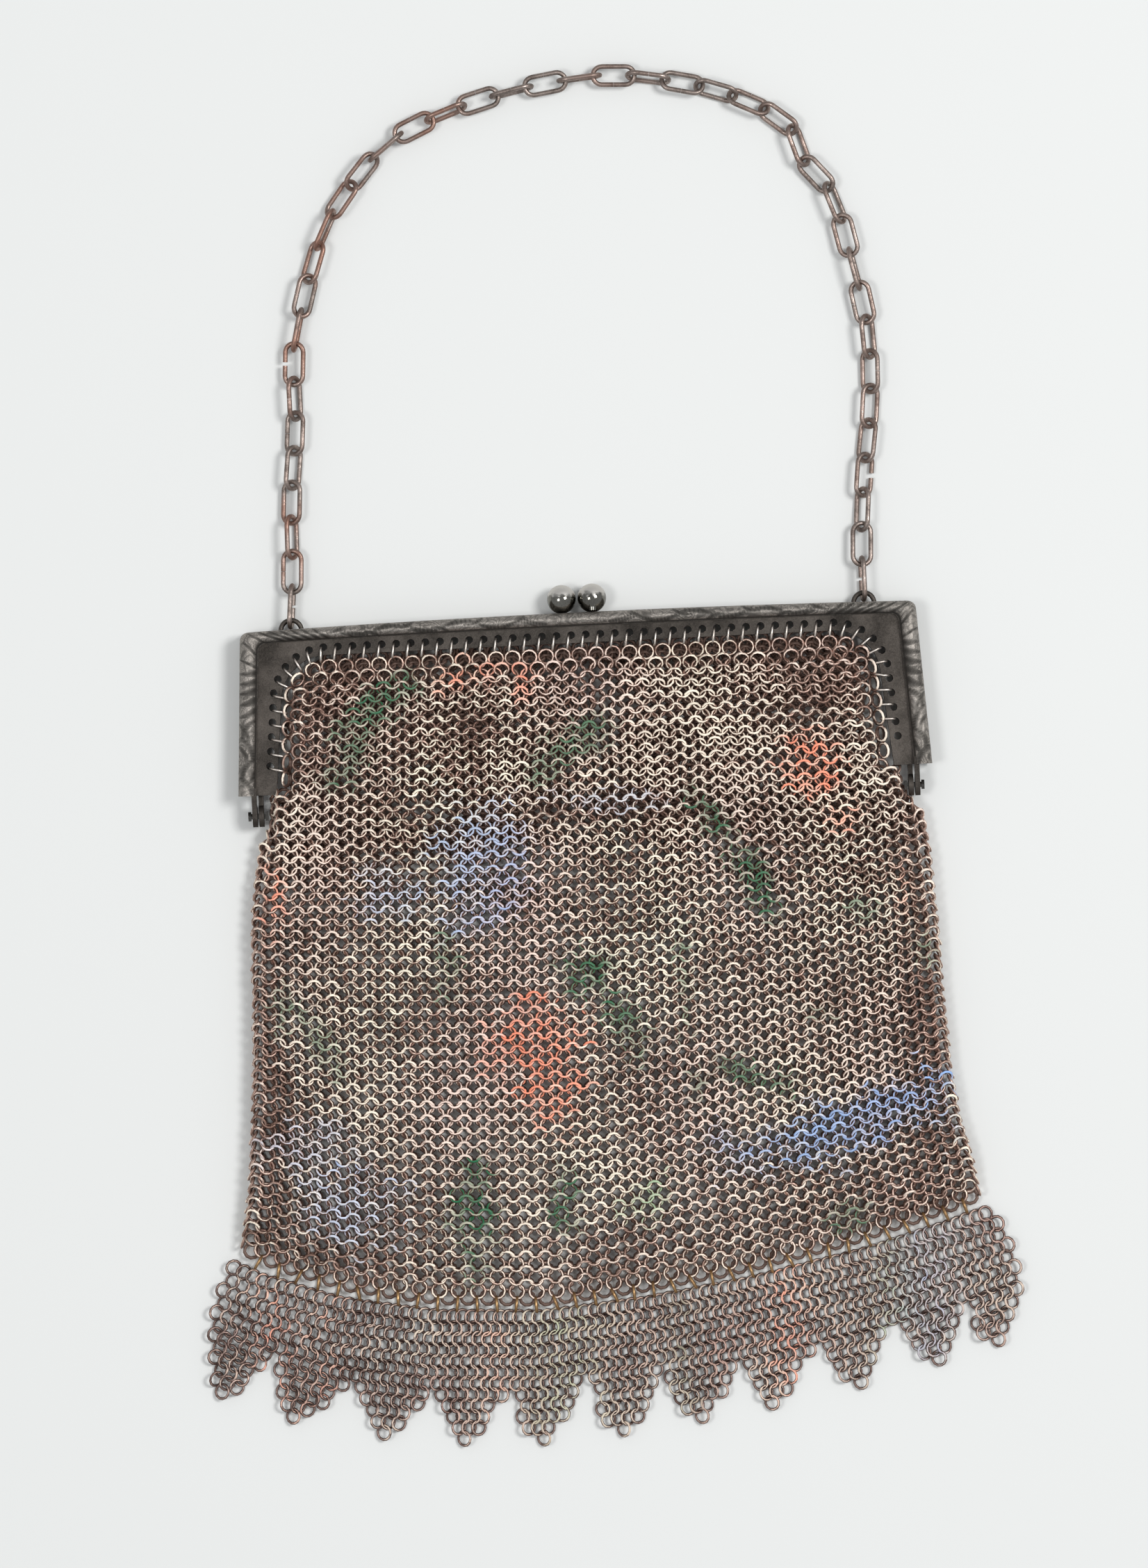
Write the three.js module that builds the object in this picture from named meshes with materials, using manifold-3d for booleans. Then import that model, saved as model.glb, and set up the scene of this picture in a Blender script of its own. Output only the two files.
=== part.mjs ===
// A metal mesh purse of the 1920s, lying on its back: an engraved two-part snap frame with a ball
// clasp, a bag of small linked rings that ends in a pointed ring fringe, and a carry chain.
// Millimetres. X runs along the frame's bar, +Y from the fringe to the chain, +Z up from the floor.
import * as THREE from 'three';
import { mergeVertices } from 'three/addons/utils/BufferGeometryUtils.js';
import Module from 'manifold-3d';

const wasm = await Module();
wasm.setup();

// Frame: two stamped halves, each a half-round rim with a flat pierced flange inside it.
const frameWidth = 138;        // between the upper corners
const legLength = 33.3;        // from the bar's upper edge to a leg's lower end
const legFlare = 1.8;          // how far a leg's lower end stands out past its upper end
const barCrown = 0.9;          // rise of the bar's middle above its ends
const cornerRadius = 1.7;      // outer corner of the rim
const rimHeight = 3.5;         // from the plane where the halves meet to the rim's crest
const rimBelly = 1.1;          // where the rim is widest, above that plane
const barRim = 2.4;            // width of the rim along the bar
const legRim = 3.7;            // width of the rim along a leg
const barFlange = 2.9;         // width of the flange along the bar
const legFlange = 4.1;         // width of the flange along a leg
const flangeCorner = 9.5;      // radius of the flange's inner corners
const flangeLift = 0.6;        // flange above the meeting plane
const flangeOverlap = 0.1;     // share of the rim's width that the flange reaches in under it
const sheet = 0.7;             // thickness of the frame's metal
const holeDiameter = 1.6;      // pierced holes that the hanging wire is threaded through
const holePitch = 2.95;        // between the holes
const holeInset = 1.6;         // centre of the holes outside the flange's inner edge
const halvesGap = 0.3;         // between the two halves
const seatGap = 0.3;           // between pieces that rest on each other
const floorGap = 0.15;         // under the chain
const wireSides = 6;           // sides of the lugs' and posts' wire

// Stamped leaves on the rim's crest.
const leafLength = 2.6;
const leafWidth = 0.8;
const leafRelief = 0.35;
const leafPitch = 1.9;         // from leaf to leaf
const leafLean = 0.9;          // radians from the rim's direction
const legLeaves = 4;
const leafRuns = [             // where a run starts, as a share of half the bar, and its leaves
  { from: 0.22, count: 3 },
  { from: 0.82, count: 5 },
];

// Hinge: an ear on each half at each leg, and a rivet through both.
const earRadius = 2.2;
const earThickness = 1.0;
const earDrop = 4.2;           // hinge axis below a leg's lower end
const earRoot = 1.6;           // how far an ear reaches up inside its leg
const earDepth = 1.9;          // of an ear's root, across the frame
const earSweep = 99;           // degrees round the axis at which an ear's edge turns back to its root
const rivetDiameter = 1.3;
const rivetHead = 2.2;
const rivetHeadHeight = 0.6;

// Clasp: two balls on bent posts that snap past each other.
const ballDiameter = 5.9;
const postDiameter = 1.4;
const postStand = 2.3;         // height of a post's foot from the meeting plane
const postEntry = 0.3;         // the same where it enters its ball, as a share of the ball's diameter
const ballNest = 0.85;         // how far a ball's centre is above the bar, as a share of its radius

// Carry chain, and the lugs on the back half that hold it.
const chainWire = 1.0;
const linkWidth = 4.7;
const linkCount = 41;
const linkPlay = 0.4;          // slack of a link on the next one
const linkCross = 78;          // degrees between the planes of two links that follow each other
const lugPlace = 0.848;        // where the lugs stand, as a share of half the bar
const chainRise = 110.2;       // how high above the bar's ends the chain's loop reaches
const lugRadius = 2.1;         // of the lug wire's centre line
const lugSink = 0.2;           // of the lug's middle below the bar's edge
const lugWire = 1.0;
const linkSides = 5;           // sides of the links' wire
const linkBends = 5;           // points round each end of a link
const routeSteps = 500;        // samples between two points of the chain's route

// Mesh bag and fringe.
const bagDrop = 133;           // from the bag's upper edge to the lowest point of its hem
const meshWall = 2.2;          // one layer of linked rings
const bagHollow = 1.0;         // between the front and back layers
const frameParting = 0.8;      // between the layers where the frame holds them
const bagSlit = 0.225;         // share of bagDrop down to which the layers are parted at the sides
const bagSettled = 0.34;       // share of bagDrop below which the back layer lies on the floor
const bagClosing = 0.93;       // share of bagDrop below which the layers come together
const hemThickness = 3.4;      // where the two layers meet
const frontColumns = 12;       // spans across the front layer
const backColumns = 4;         // spans across the back layer
const foldRise = 0.06;         // share of bagDrop over which the folds begin
const fringeGap = 0.5;         // between the hem and the fringe
const fringeDrop = 31;         // from the hem to the lowest points
const fringeThickness = 2.2;
const fringeFlare = 7.5;       // how far the fringe spreads past the hem on each side
const fringeFlareEnd = 0.6;    // share of fringeDrop over which it spreads
const notchDown = 0.59;        // share of fringeDrop where the points part
const tipWidth = 3.2;          // blunt end of a point

// Levels and places that follow from those sizes.
const meetingPlane = rimHeight + halvesGap / 2;
const halfBar = frameWidth / 2;
const lugX = lugPlace * halfBar;
const flangeTop = -barRim - barFlange;
const flangeEndX = halfBar + legFlare - legRim - legFlange;
const hingeY = -legLength - earDrop;
const frontEarX = halfBar + legFlare - legRim;
const backEarX = frontEarX - earThickness - seatGap;
const ballY = barCrown + seatGap + (ballNest * ballDiameter) / 2;
const linkBend = (linkWidth - chainWire) / 2;
const lugFoot = barCrown * (1 - lugPlace ** 2) - lugSink;
const bagTop = flangeTop - seatGap;
const slitEnd = bagSlit + seatGap / bagDrop;

// The chain's route from the left lug to the right one: x as a share of a lug's place, y as a share
// of chainRise, and how far the links turn about their length, in degrees, from lying evenly on
// both sides.
const chainRoute = [
  { x: -0.985, y: 0.109, twist: 34 },
  { x: -0.978, y: 0.236, twist: 10 },
  { x: -0.950, y: 0.381, twist: 6 },
  { x: -0.945, y: 0.508, twist: 34 },
  { x: -0.916, y: 0.581, twist: 51 },
  { x: -0.807, y: 0.750, twist: 129 },
  { x: -0.667, y: 0.848, twist: 68 },
  { x: -0.581, y: 0.894, twist: 51 },
  { x: -0.349, y: 0.949, twist: 28 },
  { x: -0.085, y: 0.984, twist: 50 },
  { x: 0.197, y: 1.000, twist: 50 },
  { x: 0.318, y: 0.993, twist: 34 },
  { x: 0.564, y: 0.964, twist: 4 },
  { x: 0.742, y: 0.922, twist: 0 },
  { x: 0.822, y: 0.894, twist: -8 },
  { x: 0.850, y: 0.834, twist: -14 },
  { x: 0.926, y: 0.792, twist: -14 },
  { x: 0.974, y: 0.734, twist: -14 },
  { x: 1.017, y: 0.633, twist: -50 },
  { x: 1.058, y: 0.517, twist: -18 },
  { x: 1.058, y: 0.381, twist: 6 },
  { x: 1.022, y: 0.236, twist: -4 },
  { x: 1.002, y: 0.109, twist: 34 },
];
const endTwist = 48;           // the first and last links stand on edge in the lugs

// Where the rim's sections and the bag's rows lie: shares of half the bar, and of the way down the
// legs.
const barStations = [0.35, 0.7];
const legStations = [0, 0.02, 0.07, 0.17, 0.33, 0.6, 1];

// The bag's outline below the hinges: how far down a row lies, as a share of bagDrop, and its left
// and right edges as shares of half the bar.
const bagRows = [
  { down: 0.300, left: 0.980, right: 0.998 },
  { down: 0.380, left: 1.004, right: 1.018 },
  { down: 0.500, left: 1.019, right: 1.029 },
  { down: 0.620, left: 1.026, right: 1.035 },
  { down: 0.740, left: 1.038, right: 1.046 },
  { down: 0.840, left: 1.053, right: 1.066 },
  { down: 0.920, left: 1.068, right: 1.094 },
  { down: 1.000, left: 1.093, right: 1.118 },
];

// The hem: how far along the bag's width, and how far it lies above its lowest point as a share
// of bagDrop.
const hemRows = [
  { along: 0.00, above: 0.106 },
  { along: 0.05, above: 0.075 },
  { along: 0.15, above: 0.034 },
  { along: 0.27, above: 0.009 },
  { along: 0.40, above: 0.000 },
  { along: 0.54, above: 0.013 },
  { along: 0.68, above: 0.037 },
  { along: 0.82, above: 0.070 },
  { along: 0.93, above: 0.106 },
  { along: 1.00, above: 0.132 },
];

// Soft folds of the front layer below the frame: place across and half width as shares of half
// the bar, height as a share of bagHollow, and how far down they reach as a share of bagDrop.
const folds = [
  { at: -0.80, half: 0.09, height: 0.50, reach: 0.70 },
  { at: -0.52, half: 0.10, height: 0.55, reach: 0.45 },
  { at: -0.26, half: 0.10, height: -0.55, reach: 0.38 },
  { at: 0.06, half: 0.12, height: 0.45, reach: 0.55 },
  { at: 0.40, half: 0.10, height: -0.45, reach: 0.40 },
  { at: 0.68, half: 0.10, height: 0.55, reach: 0.60 },
];

// How far down the fringe's side edges have a point, as shares of fringeDrop.
const fringeSides = [0.12, 0.35];

// The fringe's points from left to right: where each tip and the notch after it lie along the
// fringe's width.
const fringePoints = [
  { tip: 0.008, notch: 0.084 },
  { tip: 0.104, notch: 0.178 },
  { tip: 0.212, notch: 0.277 },
  { tip: 0.308, notch: 0.370 },
  { tip: 0.400, notch: 0.460 },
  { tip: 0.504, notch: 0.557 },
  { tip: 0.595, notch: 0.651 },
  { tip: 0.691, notch: 0.744 },
  { tip: 0.792, notch: 0.835 },
  { tip: 0.892, notch: 0.926 },
  { tip: 0.961, notch: 1.000 },
];

const gunmetal = new THREE.MeshStandardMaterial({ color: 0x4a4744, roughness: 0.45, metalness: 0.9 });
const darkSteel = new THREE.MeshStandardMaterial({ color: 0x3b3937, roughness: 0.3, metalness: 0.95 });
const copperBrown = new THREE.MeshStandardMaterial({ color: 0x7a5c50, roughness: 0.4, metalness: 0.9 });
const creamEnamel = new THREE.MeshStandardMaterial({ color: 0xa39a8c, roughness: 0.5, metalness: 0.4 });
const brownSteel = new THREE.MeshStandardMaterial({ color: 0x69504b, roughness: 0.45, metalness: 0.7 });

const purse = new THREE.Group();

function mix(a, b, share) {
  return a + (b - a) * share;
}

function ease(value, from, to) {
  return THREE.MathUtils.smoothstep(value, from, to);
}

// A column of a table, read between its rows.
function read(rows, key, value, column) {
  const next = Math.max(rows.findIndex((row) => row[key] >= value), 1);
  const [a, b] = [rows[next - 1], rows[next]];
  return mix(a[column], b[column], (value - a[key]) / (b[key] - a[key]));
}

// Turns a closed geometry into a solid that can be joined and cut.
function solid(geometry) {
  const bare = geometry.index ? geometry.toNonIndexed() : geometry;
  bare.deleteAttribute('normal');
  bare.deleteAttribute('uv');
  const merged = mergeVertices(bare, 1e-4);
  return new wasm.Manifold(new wasm.Mesh({
    numProp: 3,
    vertProperties: new Float32Array(merged.attributes.position.array),
    triVerts: new Uint32Array(merged.index.array),
  }));
}

function piece(name, body, material, parent = purse) {
  const cut = body.getMesh();
  const geometry = new THREE.BufferGeometry();
  geometry.setAttribute('position', new THREE.BufferAttribute(cut.vertProperties, 3));
  geometry.setIndex(new THREE.BufferAttribute(cut.triVerts, 1));
  geometry.computeVertexNormals();
  const mesh = new THREE.Mesh(geometry, material);
  mesh.name = name;
  parent.add(mesh);
}

function signedVolume(points, faces) {
  let sum = 0;
  for (let i = 0; i < faces.length; i += 3) {
    const [a, b, c] = [points[faces[i]], points[faces[i + 1]], points[faces[i + 2]]];
    sum += a.dot(new THREE.Vector3().crossVectors(b, c));
  }
  return sum;
}

// A closed skin over rings that hold the same number of points. A looped skin joins its last ring
// to the first, and any other has its two ends filled in from the section's flat outline.
function skin(rings, section) {
  const count = rings[0].length;
  const points = rings.flat();
  const faces = [];
  const spans = section ? rings.length - 1 : rings.length;
  for (let i = 0; i < spans; i += 1) {
    const a = i * count;
    const b = ((i + 1) % rings.length) * count;
    for (let j = 0; j < count; j += 1) {
      const k = (j + 1) % count;
      faces.push(a + j, a + k, b + j, a + k, b + k, b + j);
    }
  }
  if (section) {
    const last = (rings.length - 1) * count;
    const forward = THREE.ShapeUtils.area(section) > 0;
    THREE.ShapeUtils.triangulateShape(section, []).forEach((corners) => {
      const [p, q, r] = forward ? corners : [...corners].reverse();
      faces.push(p, r, q, last + p, last + q, last + r);
    });
  }
  if (signedVolume(points, faces) < 0) faces.reverse();
  const geometry = new THREE.BufferGeometry().setFromPoints(points);
  geometry.setIndex(faces);
  return solid(geometry);
}

// A round wire through points that lie in one plane, which is given by its normal.
function wire(points, diameter, sides, normal, looped) {
  const section = [];
  for (let j = 0; j < sides; j += 1) {
    const turn = (j / sides) * 2 * Math.PI;
    section.push(new THREE.Vector2(Math.cos(turn), Math.sin(turn)).multiplyScalar(diameter / 2));
  }
  const last = points.length - 1;
  const rings = points.map((point, i) => {
    const before = points[i > 0 ? i - 1 : looped * last];
    const after = points[i < last ? i + 1 : (1 - looped) * last];
    const along = after.clone().sub(before).normalize();
    const across = new THREE.Vector3().crossVectors(normal, along);
    return section.map((s) => point.clone().addScaledVector(across, s.x).addScaledVector(normal, s.y));
  });
  return skin(rings, looped ? null : section);
}

// Frame
function barEdge(x) {
  return barCrown * (1 - (x / halfBar) ** 2);
}

function barInner(x) {
  return barEdge(x) / 2 - barRim;
}

// The rim's outer edge and inner line, pair by pair from the left leg's end to the right one's.
function rimPairs() {
  const legX = halfBar + legFlare;
  const innerX = halfBar - legRim;
  const bend = (1 - Math.SQRT1_2) * cornerRadius;
  const right = barStations.map((share) => {
    const x = share * halfBar;
    return { outer: [x, barEdge(x)], inner: [x, barInner(x)] };
  });
  right.push({ outer: [halfBar - cornerRadius, 0], inner: [innerX - cornerRadius, -barRim] });
  right.push({ outer: [halfBar - bend, -bend], inner: [innerX - bend, -barRim - bend] });
  right.push({ outer: [halfBar, -cornerRadius], inner: [innerX, -barRim - cornerRadius] });
  right.push({ outer: [legX, -legLength], inner: [legX - legRim, -legLength] });
  const middle = { outer: [0, barEdge(0)], inner: [0, barInner(0)] };
  const left = right.map(({ outer, inner }) => ({ outer: [-outer[0], outer[1]], inner: [-inner[0], inner[1]] }));
  return [...left.reverse(), middle, ...right];
}

// The rim's hollow half-round section: shares of its width from the outer edge, and heights.
function rimSection() {
  const wall = sheet / legRim;
  const curl = wall / 2;
  const arch = (reach, crest, steps) => {
    const points = [];
    const crestStart = Math.sin((Math.PI * Math.floor(steps / 2)) / steps);
    for (let i = 0; i <= steps; i += 1) {
      const turn = Math.PI * (1 - i / steps);
      const rise = Math.min(Math.sin(turn) / crestStart, 1);
      points.push(new THREE.Vector2(0.5 + reach * Math.cos(turn), mix(rimBelly, crest, rise)));
    }
    return points;
  };
  return [
    new THREE.Vector2(curl, 0),
    ...arch(0.5, rimHeight, 5),
    new THREE.Vector2(1, 0),
    new THREE.Vector2(1 - wall, 0),
    ...arch(0.5 - wall, rimHeight - sheet, 3).reverse(),
    new THREE.Vector2(curl + wall, 0),
  ];
}

function rim() {
  const section = rimSection();
  const rings = rimPairs().map(({ outer, inner }) => section.map((s) => (
    new THREE.Vector3(mix(outer[0], inner[0], s.x), mix(outer[1], inner[1], s.x), s.y)
  )));
  return skin(rings, section);
}

// The line that lies a given distance outside the flange's inner edge, from the left leg's end
// round to the right one's.
function flangeLine(outside) {
  const radius = flangeCorner + outside;
  const endX = flangeEndX + outside;
  const cornerX = flangeEndX - legFlare + outside;
  const top = flangeTop + outside;
  const line = new THREE.Path();
  line.moveTo(-endX, -legLength);
  line.lineTo(-cornerX, top - radius);
  line.absarc(radius - cornerX, top - radius, radius, Math.PI, Math.PI / 2, true);
  line.lineTo(cornerX - radius, top);
  line.absarc(cornerX - radius, top - radius, radius, Math.PI / 2, 0, true);
  line.lineTo(endX, -legLength);
  return line;
}

// Half the width between the two legs' flanges at a height.
function flangeHalfWidth(y) {
  const bendY = flangeTop - flangeCorner;
  if (y > bendY) {
    const rise = Math.min(y - bendY, flangeCorner);
    return flangeEndX - legFlare - flangeCorner + Math.sqrt(flangeCorner ** 2 - rise ** 2);
  }
  return flangeEndX - legFlare * ((y + legLength) / (bendY + legLength));
}

function flange() {
  const outer = rimPairs().map((pair) => new THREE.Vector2(
    mix(pair.inner[0], pair.outer[0], flangeOverlap),
    mix(pair.inner[1], pair.outer[1], flangeOverlap),
  ));
  const shape = new THREE.Shape([...outer, ...flangeLine(0).getPoints(5).reverse()]);
  const holes = flangeLine(holeInset);
  const steps = Math.round(holes.getLength() / holePitch);
  const first = 1 + Math.round((1.5 * holeDiameter) / holePitch);
  for (let i = first; i <= steps - first; i += 1) {
    const centre = holes.getPointAt(i / steps);
    shape.holes.push(new THREE.Path().absarc(centre.x, centre.y, holeDiameter / 2, 0, 2 * Math.PI));
  }
  const plate = new THREE.ExtrudeGeometry(shape, { depth: sheet, bevelEnabled: false, curveSegments: 3 });
  return solid(plate.translate(0, 0, flangeLift));
}

// An ear of the hinge, in the plane across the frame, from inside the half's leg to the axis.
function ear(side, innerX) {
  const root = -legLength + earRoot;
  const axisZ = -halvesGap / 2;
  const start = Math.asin((flangeLift - axisZ) / earRadius);
  const outline = new THREE.Shape();
  outline.moveTo(root, flangeLift + earDepth);
  outline.lineTo(root, flangeLift);
  outline.absarc(hingeY, axisZ, earRadius, start, THREE.MathUtils.degToRad(earSweep), true);
  outline.holes.push(new THREE.Path().absarc(hingeY, axisZ, rivetDiameter / 2 + seatGap, 0, 2 * Math.PI));
  const plate = new THREE.ExtrudeGeometry(outline, { depth: earThickness, bevelEnabled: false, curveSegments: 4 });
  plate.applyMatrix4(new THREE.Matrix4().makeBasis(
    new THREE.Vector3(0, 1, 0),
    new THREE.Vector3(0, 0, 1),
    new THREE.Vector3(1, 0, 0),
  ));
  return solid(plate.translate(side > 0 ? innerX : -innerX - earThickness, 0, 0));
}

// The stamped leaves of the rim: pairs of ridges that lean away from the frame's middle.
function leaves() {
  const ridges = [];
  const ridge = (x, y, turn) => {
    const blade = new THREE.OctahedronGeometry(1);
    blade.scale(leafLength / 2, leafWidth / 2, leafRelief * 2);
    blade.rotateZ(turn);
    ridges.push(solid(blade.translate(x, y, rimHeight - leafRelief)));
  };
  for (const side of [-1, 1]) {
    for (const { from, count } of leafRuns) {
      for (let i = 0; i < count; i += 1) {
        const x = from * halfBar + i * leafPitch;
        ridge(side * x, (barEdge(x) + barInner(x)) / 2, side * leafLean);
      }
    }
    for (let i = 0; i < legLeaves; i += 1) {
      const y = -barRim - cornerRadius - (i + 0.5) * leafPitch;
      ridge(side * (halfBar + (legFlare * y) / -legLength - legRim / 2), y, side * (Math.PI / 2 - leafLean));
    }
  }
  return ridges;
}

// A lug is half a ring of wire, soldered to the back half's upper edge.
function lug(side) {
  const points = [];
  for (let i = 0; i <= 6; i += 1) {
    const turn = (Math.PI * (i - 0.5)) / 5;
    points.push(new THREE.Vector3(
      side * lugX + lugRadius * Math.cos(turn),
      lugFoot + lugRadius * Math.sin(turn),
      rimHeight - chainHeight(endTwist),
    ));
  }
  return wire(points, lugWire, wireSides, new THREE.Vector3(0, 0, 1), 0);
}

// Height of the chain's middle above the floor where its links are turned by a twist.
function chainHeight(twist) {
  const lean = Math.min(Math.abs(twist) + linkCross / 2, 90);
  return chainWire / 2 + floorGap + linkBend * Math.sin(THREE.MathUtils.degToRad(lean));
}

function frameHalf(name, earX, extras) {
  const half = new THREE.Group();
  const parts = [rim(), flange(), ear(-1, earX), ear(1, earX), ...extras];
  piece(name, parts.reduce((joined, part) => joined.add(part)), gunmetal, half);
  purse.add(half);
  return half;
}

const front = frameHalf('frame_front', frontEarX, leaves());
front.position.z = meetingPlane + halvesGap / 2;

// The back half is the front one turned about the bar's middle, with the lugs in place of leaves.
const back = frameHalf('frame_back', backEarX, [lug(-1), lug(1)]);
back.rotation.y = Math.PI;
back.position.z = meetingPlane - halvesGap / 2;

// Hinge rivets
for (const [name, side] of [['hinge_rivet_left', -1], ['hinge_rivet_right', 1]]) {
  const reach = (frontEarX + earThickness - backEarX) / 2 + seatGap;
  const [shank, head] = [rivetDiameter / 2, rivetHead / 2];
  const profile = [
    [0, -reach - rivetHeadHeight],
    [head, -reach - rivetHeadHeight],
    [head, -reach],
    [shank, -reach],
    [shank, reach],
    [head, reach],
    [head, reach + rivetHeadHeight],
    [0, reach + rivetHeadHeight],
  ].map(([r, h]) => new THREE.Vector2(r, h));
  const rivet = new THREE.LatheGeometry(profile, 6).rotateZ(Math.PI / 2);
  rivet.translate((side * (frontEarX + earThickness + backEarX)) / 2, hingeY, meetingPlane);
  piece(name, solid(rivet), darkSteel);
}

// Clasp: each ball's bent post stands on its own half of the frame, just clear of the rim.
for (const [name, side] of [['clasp_ball_back', -1], ['clasp_ball_front', 1]]) {
  const x = (side * (ballDiameter + seatGap)) / 2;
  const ball = new THREE.SphereGeometry(ballDiameter / 2, 12, 8).translate(x, ballY, meetingPlane);
  const footZ = meetingPlane + side * postStand;
  const route = [
    new THREE.Vector3(x, barCrown + seatGap, footZ),
    new THREE.Vector3(x, barCrown + seatGap + postDiameter / 2, footZ),
    new THREE.Vector3(x, ballY, meetingPlane + side * postEntry * ballDiameter),
  ];
  piece(name, solid(ball).add(wire(route, postDiameter, wireSides, new THREE.Vector3(1, 0, 0), 0)), darkSteel);
}

// Carry chain
const lugPoint = (side) => ({
  x: side * lugX,
  y: lugFoot + lugRadius - lugWire / 2 - linkPlay / 2,
  twist: endTwist,
});
const routeRows = chainRoute.map(({ x, y, twist }) => ({ x: x * lugX, y: y * chainRise, twist }));
const routePoints = [lugPoint(-1), ...routeRows, lugPoint(1)];
const routeCurve = new THREE.CatmullRomCurve3(routePoints.map(({ x, y }) => new THREE.Vector3(x, y, 0)));
const routeSamples = routeCurve.getPoints(routeSteps * (routePoints.length - 1));

// The places where links meet when each spans the same straight length, and how many links that
// makes, with the last one counted as a fraction where it runs out of route.
function walk(pitch) {
  const meets = [0];
  routeSamples.forEach((sample, i) => {
    if (sample.distanceTo(routeSamples[meets.at(-1)]) >= pitch) meets.push(i);
  });
  const left = routeSamples.at(-1).distanceTo(routeSamples[meets.at(-1)]);
  return { meets, links: meets.length - 1 + left / pitch };
}

function linkPitch() {
  let [short, long] = [1, routeCurve.getLength()];
  for (let i = 0; i < 40; i += 1) {
    const middle = (short + long) / 2;
    if (walk(middle).links > linkCount) short = middle;
    else long = middle;
  }
  return short;
}

function meetingPoint(sampleIndex) {
  const at = (sampleIndex / (routeSamples.length - 1)) * (routePoints.length - 1);
  const i = Math.min(Math.floor(at), routePoints.length - 2);
  const twist = mix(routePoints[i].twist, routePoints[i + 1].twist, at - i);
  return { point: routeSamples[sampleIndex].clone().setZ(chainHeight(twist)), twist };
}

function link(name, start, end, cross) {
  const along = end.point.clone().sub(start.point);
  const straight = (along.length() + chainWire + linkPlay) / 2 - linkBend;
  along.normalize();
  const roll = THREE.MathUtils.degToRad((start.twist + end.twist) / 2 + cross);
  const level = new THREE.Vector3(-along.y, along.x, 0).normalize();
  const across = level.applyAxisAngle(along, roll);
  const centre = start.point.clone().add(end.point).multiplyScalar(0.5);
  const points = [];
  for (let i = 0; i < 2 * linkBends; i += 1) {
    const way = i < linkBends ? 1 : -1;
    const turn = (Math.PI * (i % linkBends)) / (linkBends - 1);
    points.push(centre.clone()
      .addScaledVector(along, way * (straight + linkBend * Math.sin(turn)))
      .addScaledVector(across, way * linkBend * Math.cos(turn)));
  }
  const normal = new THREE.Vector3().crossVectors(along, across);
  piece(name, wire(points, chainWire, linkSides, normal, 1), copperBrown);
}

const meets = walk(linkPitch()).meets.slice(0, linkCount);
meets.push(routeSamples.length - 1);
for (let i = 0; i < linkCount; i += 1) {
  const name = `chain_link_${String(i + 1).padStart(2, '0')}`;
  const cross = (i % 2 === 0 ? 1 : -1) * (linkCross / 2);
  link(name, meetingPoint(meets[i]), meetingPoint(meets[i + 1]), cross);
}

// Mesh bag
function hemLift(along) {
  return bagDrop * read(hemRows, 'along', along, 'above');
}

// The rows from the bag's upper edge to the hem: beside the frame they follow the flange and keep
// clear of the hinges, and below it they follow the outline.
function bagStations() {
  const downAt = (y) => (bagTop - y) / bagDrop;
  const upper = legStations.map((share) => {
    const y = mix(bagTop, -legLength, share);
    const half = flangeHalfWidth(y) - seatGap;
    return { down: downAt(y), left: half, right: half };
  });
  const besideHinge = backEarX - seatGap - rivetHeadHeight - seatGap;
  const hinge = [hingeY + rivetHead / 2, hingeY - earRadius].map((y) => (
    { down: downAt(y), left: besideHinge, right: besideHinge }
  ));
  const lower = bagRows.map(({ down, left, right }) => (
    { down, left: left * halfBar, right: right * halfBar }
  ));
  return [...upper, ...hinge, ...lower];
}

function layerLevels(down) {
  const lifted = 1 - ease(down, bagSlit, bagSettled);
  const rise = lifted * (meetingPlane - frameParting / 2 - meshWall);
  const hollow = mix(bagHollow, frameParting, lifted);
  return { rise, crest: mix(rise + 2 * meshWall + hollow, hemThickness, ease(down, bagClosing, 1)) };
}

function foldHeight(x, down) {
  return folds.reduce((sum, { at, half, height, reach }) => {
    const away = (x / halfBar - at) / half;
    const fade = ease(down, 0, foldRise) * (1 - ease(down, reach / 2, reach));
    return sum + height * bagHollow * Math.exp(-away * away) * fade;
  }, 0);
}

// A flattened tube through the rows: the bag's outside, or with a wall's thickness taken off, its
// hollow.
function bagTube(stations, wall, sideWall) {
  const rings = stations.map(({ down, left, right }) => {
    const { rise, crest } = layerLevels(down);
    const [low, high] = [rise + wall, crest - wall];
    const [from, to] = [-left + sideWall(down), right - sideWall(down)];
    const bulge = (high - low) / 2;
    const place = (x, z) => {
      const along = THREE.MathUtils.clamp((x + left) / (left + right), 0, 1);
      return new THREE.Vector3(x, bagTop - bagDrop * down + hemLift(along) * down ** 3, z);
    };
    const across = (count, z) => Array.from({ length: count + 1 }, (_, i) => {
      const x = mix(from + bulge, to - bulge, i / count);
      return place(x, z + (z === high ? foldHeight(x, down) : 0));
    });
    const edge = (x, side) => [1, 0, -1].map((step) => place(
      x - side * bulge * (1 - Math.cos((step * Math.PI) / 4)),
      (low + high) / 2 + bulge * Math.sin((step * Math.PI) / 4),
    ));
    return [
      ...across(frontColumns, high),
      ...edge(to, 1),
      ...across(backColumns, low).reverse(),
      ...edge(from, -1).reverse(),
    ];
  });
  const section = rings[0].map(({ x, z }) => new THREE.Vector2(x, z));
  return skin(rings, section);
}

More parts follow.
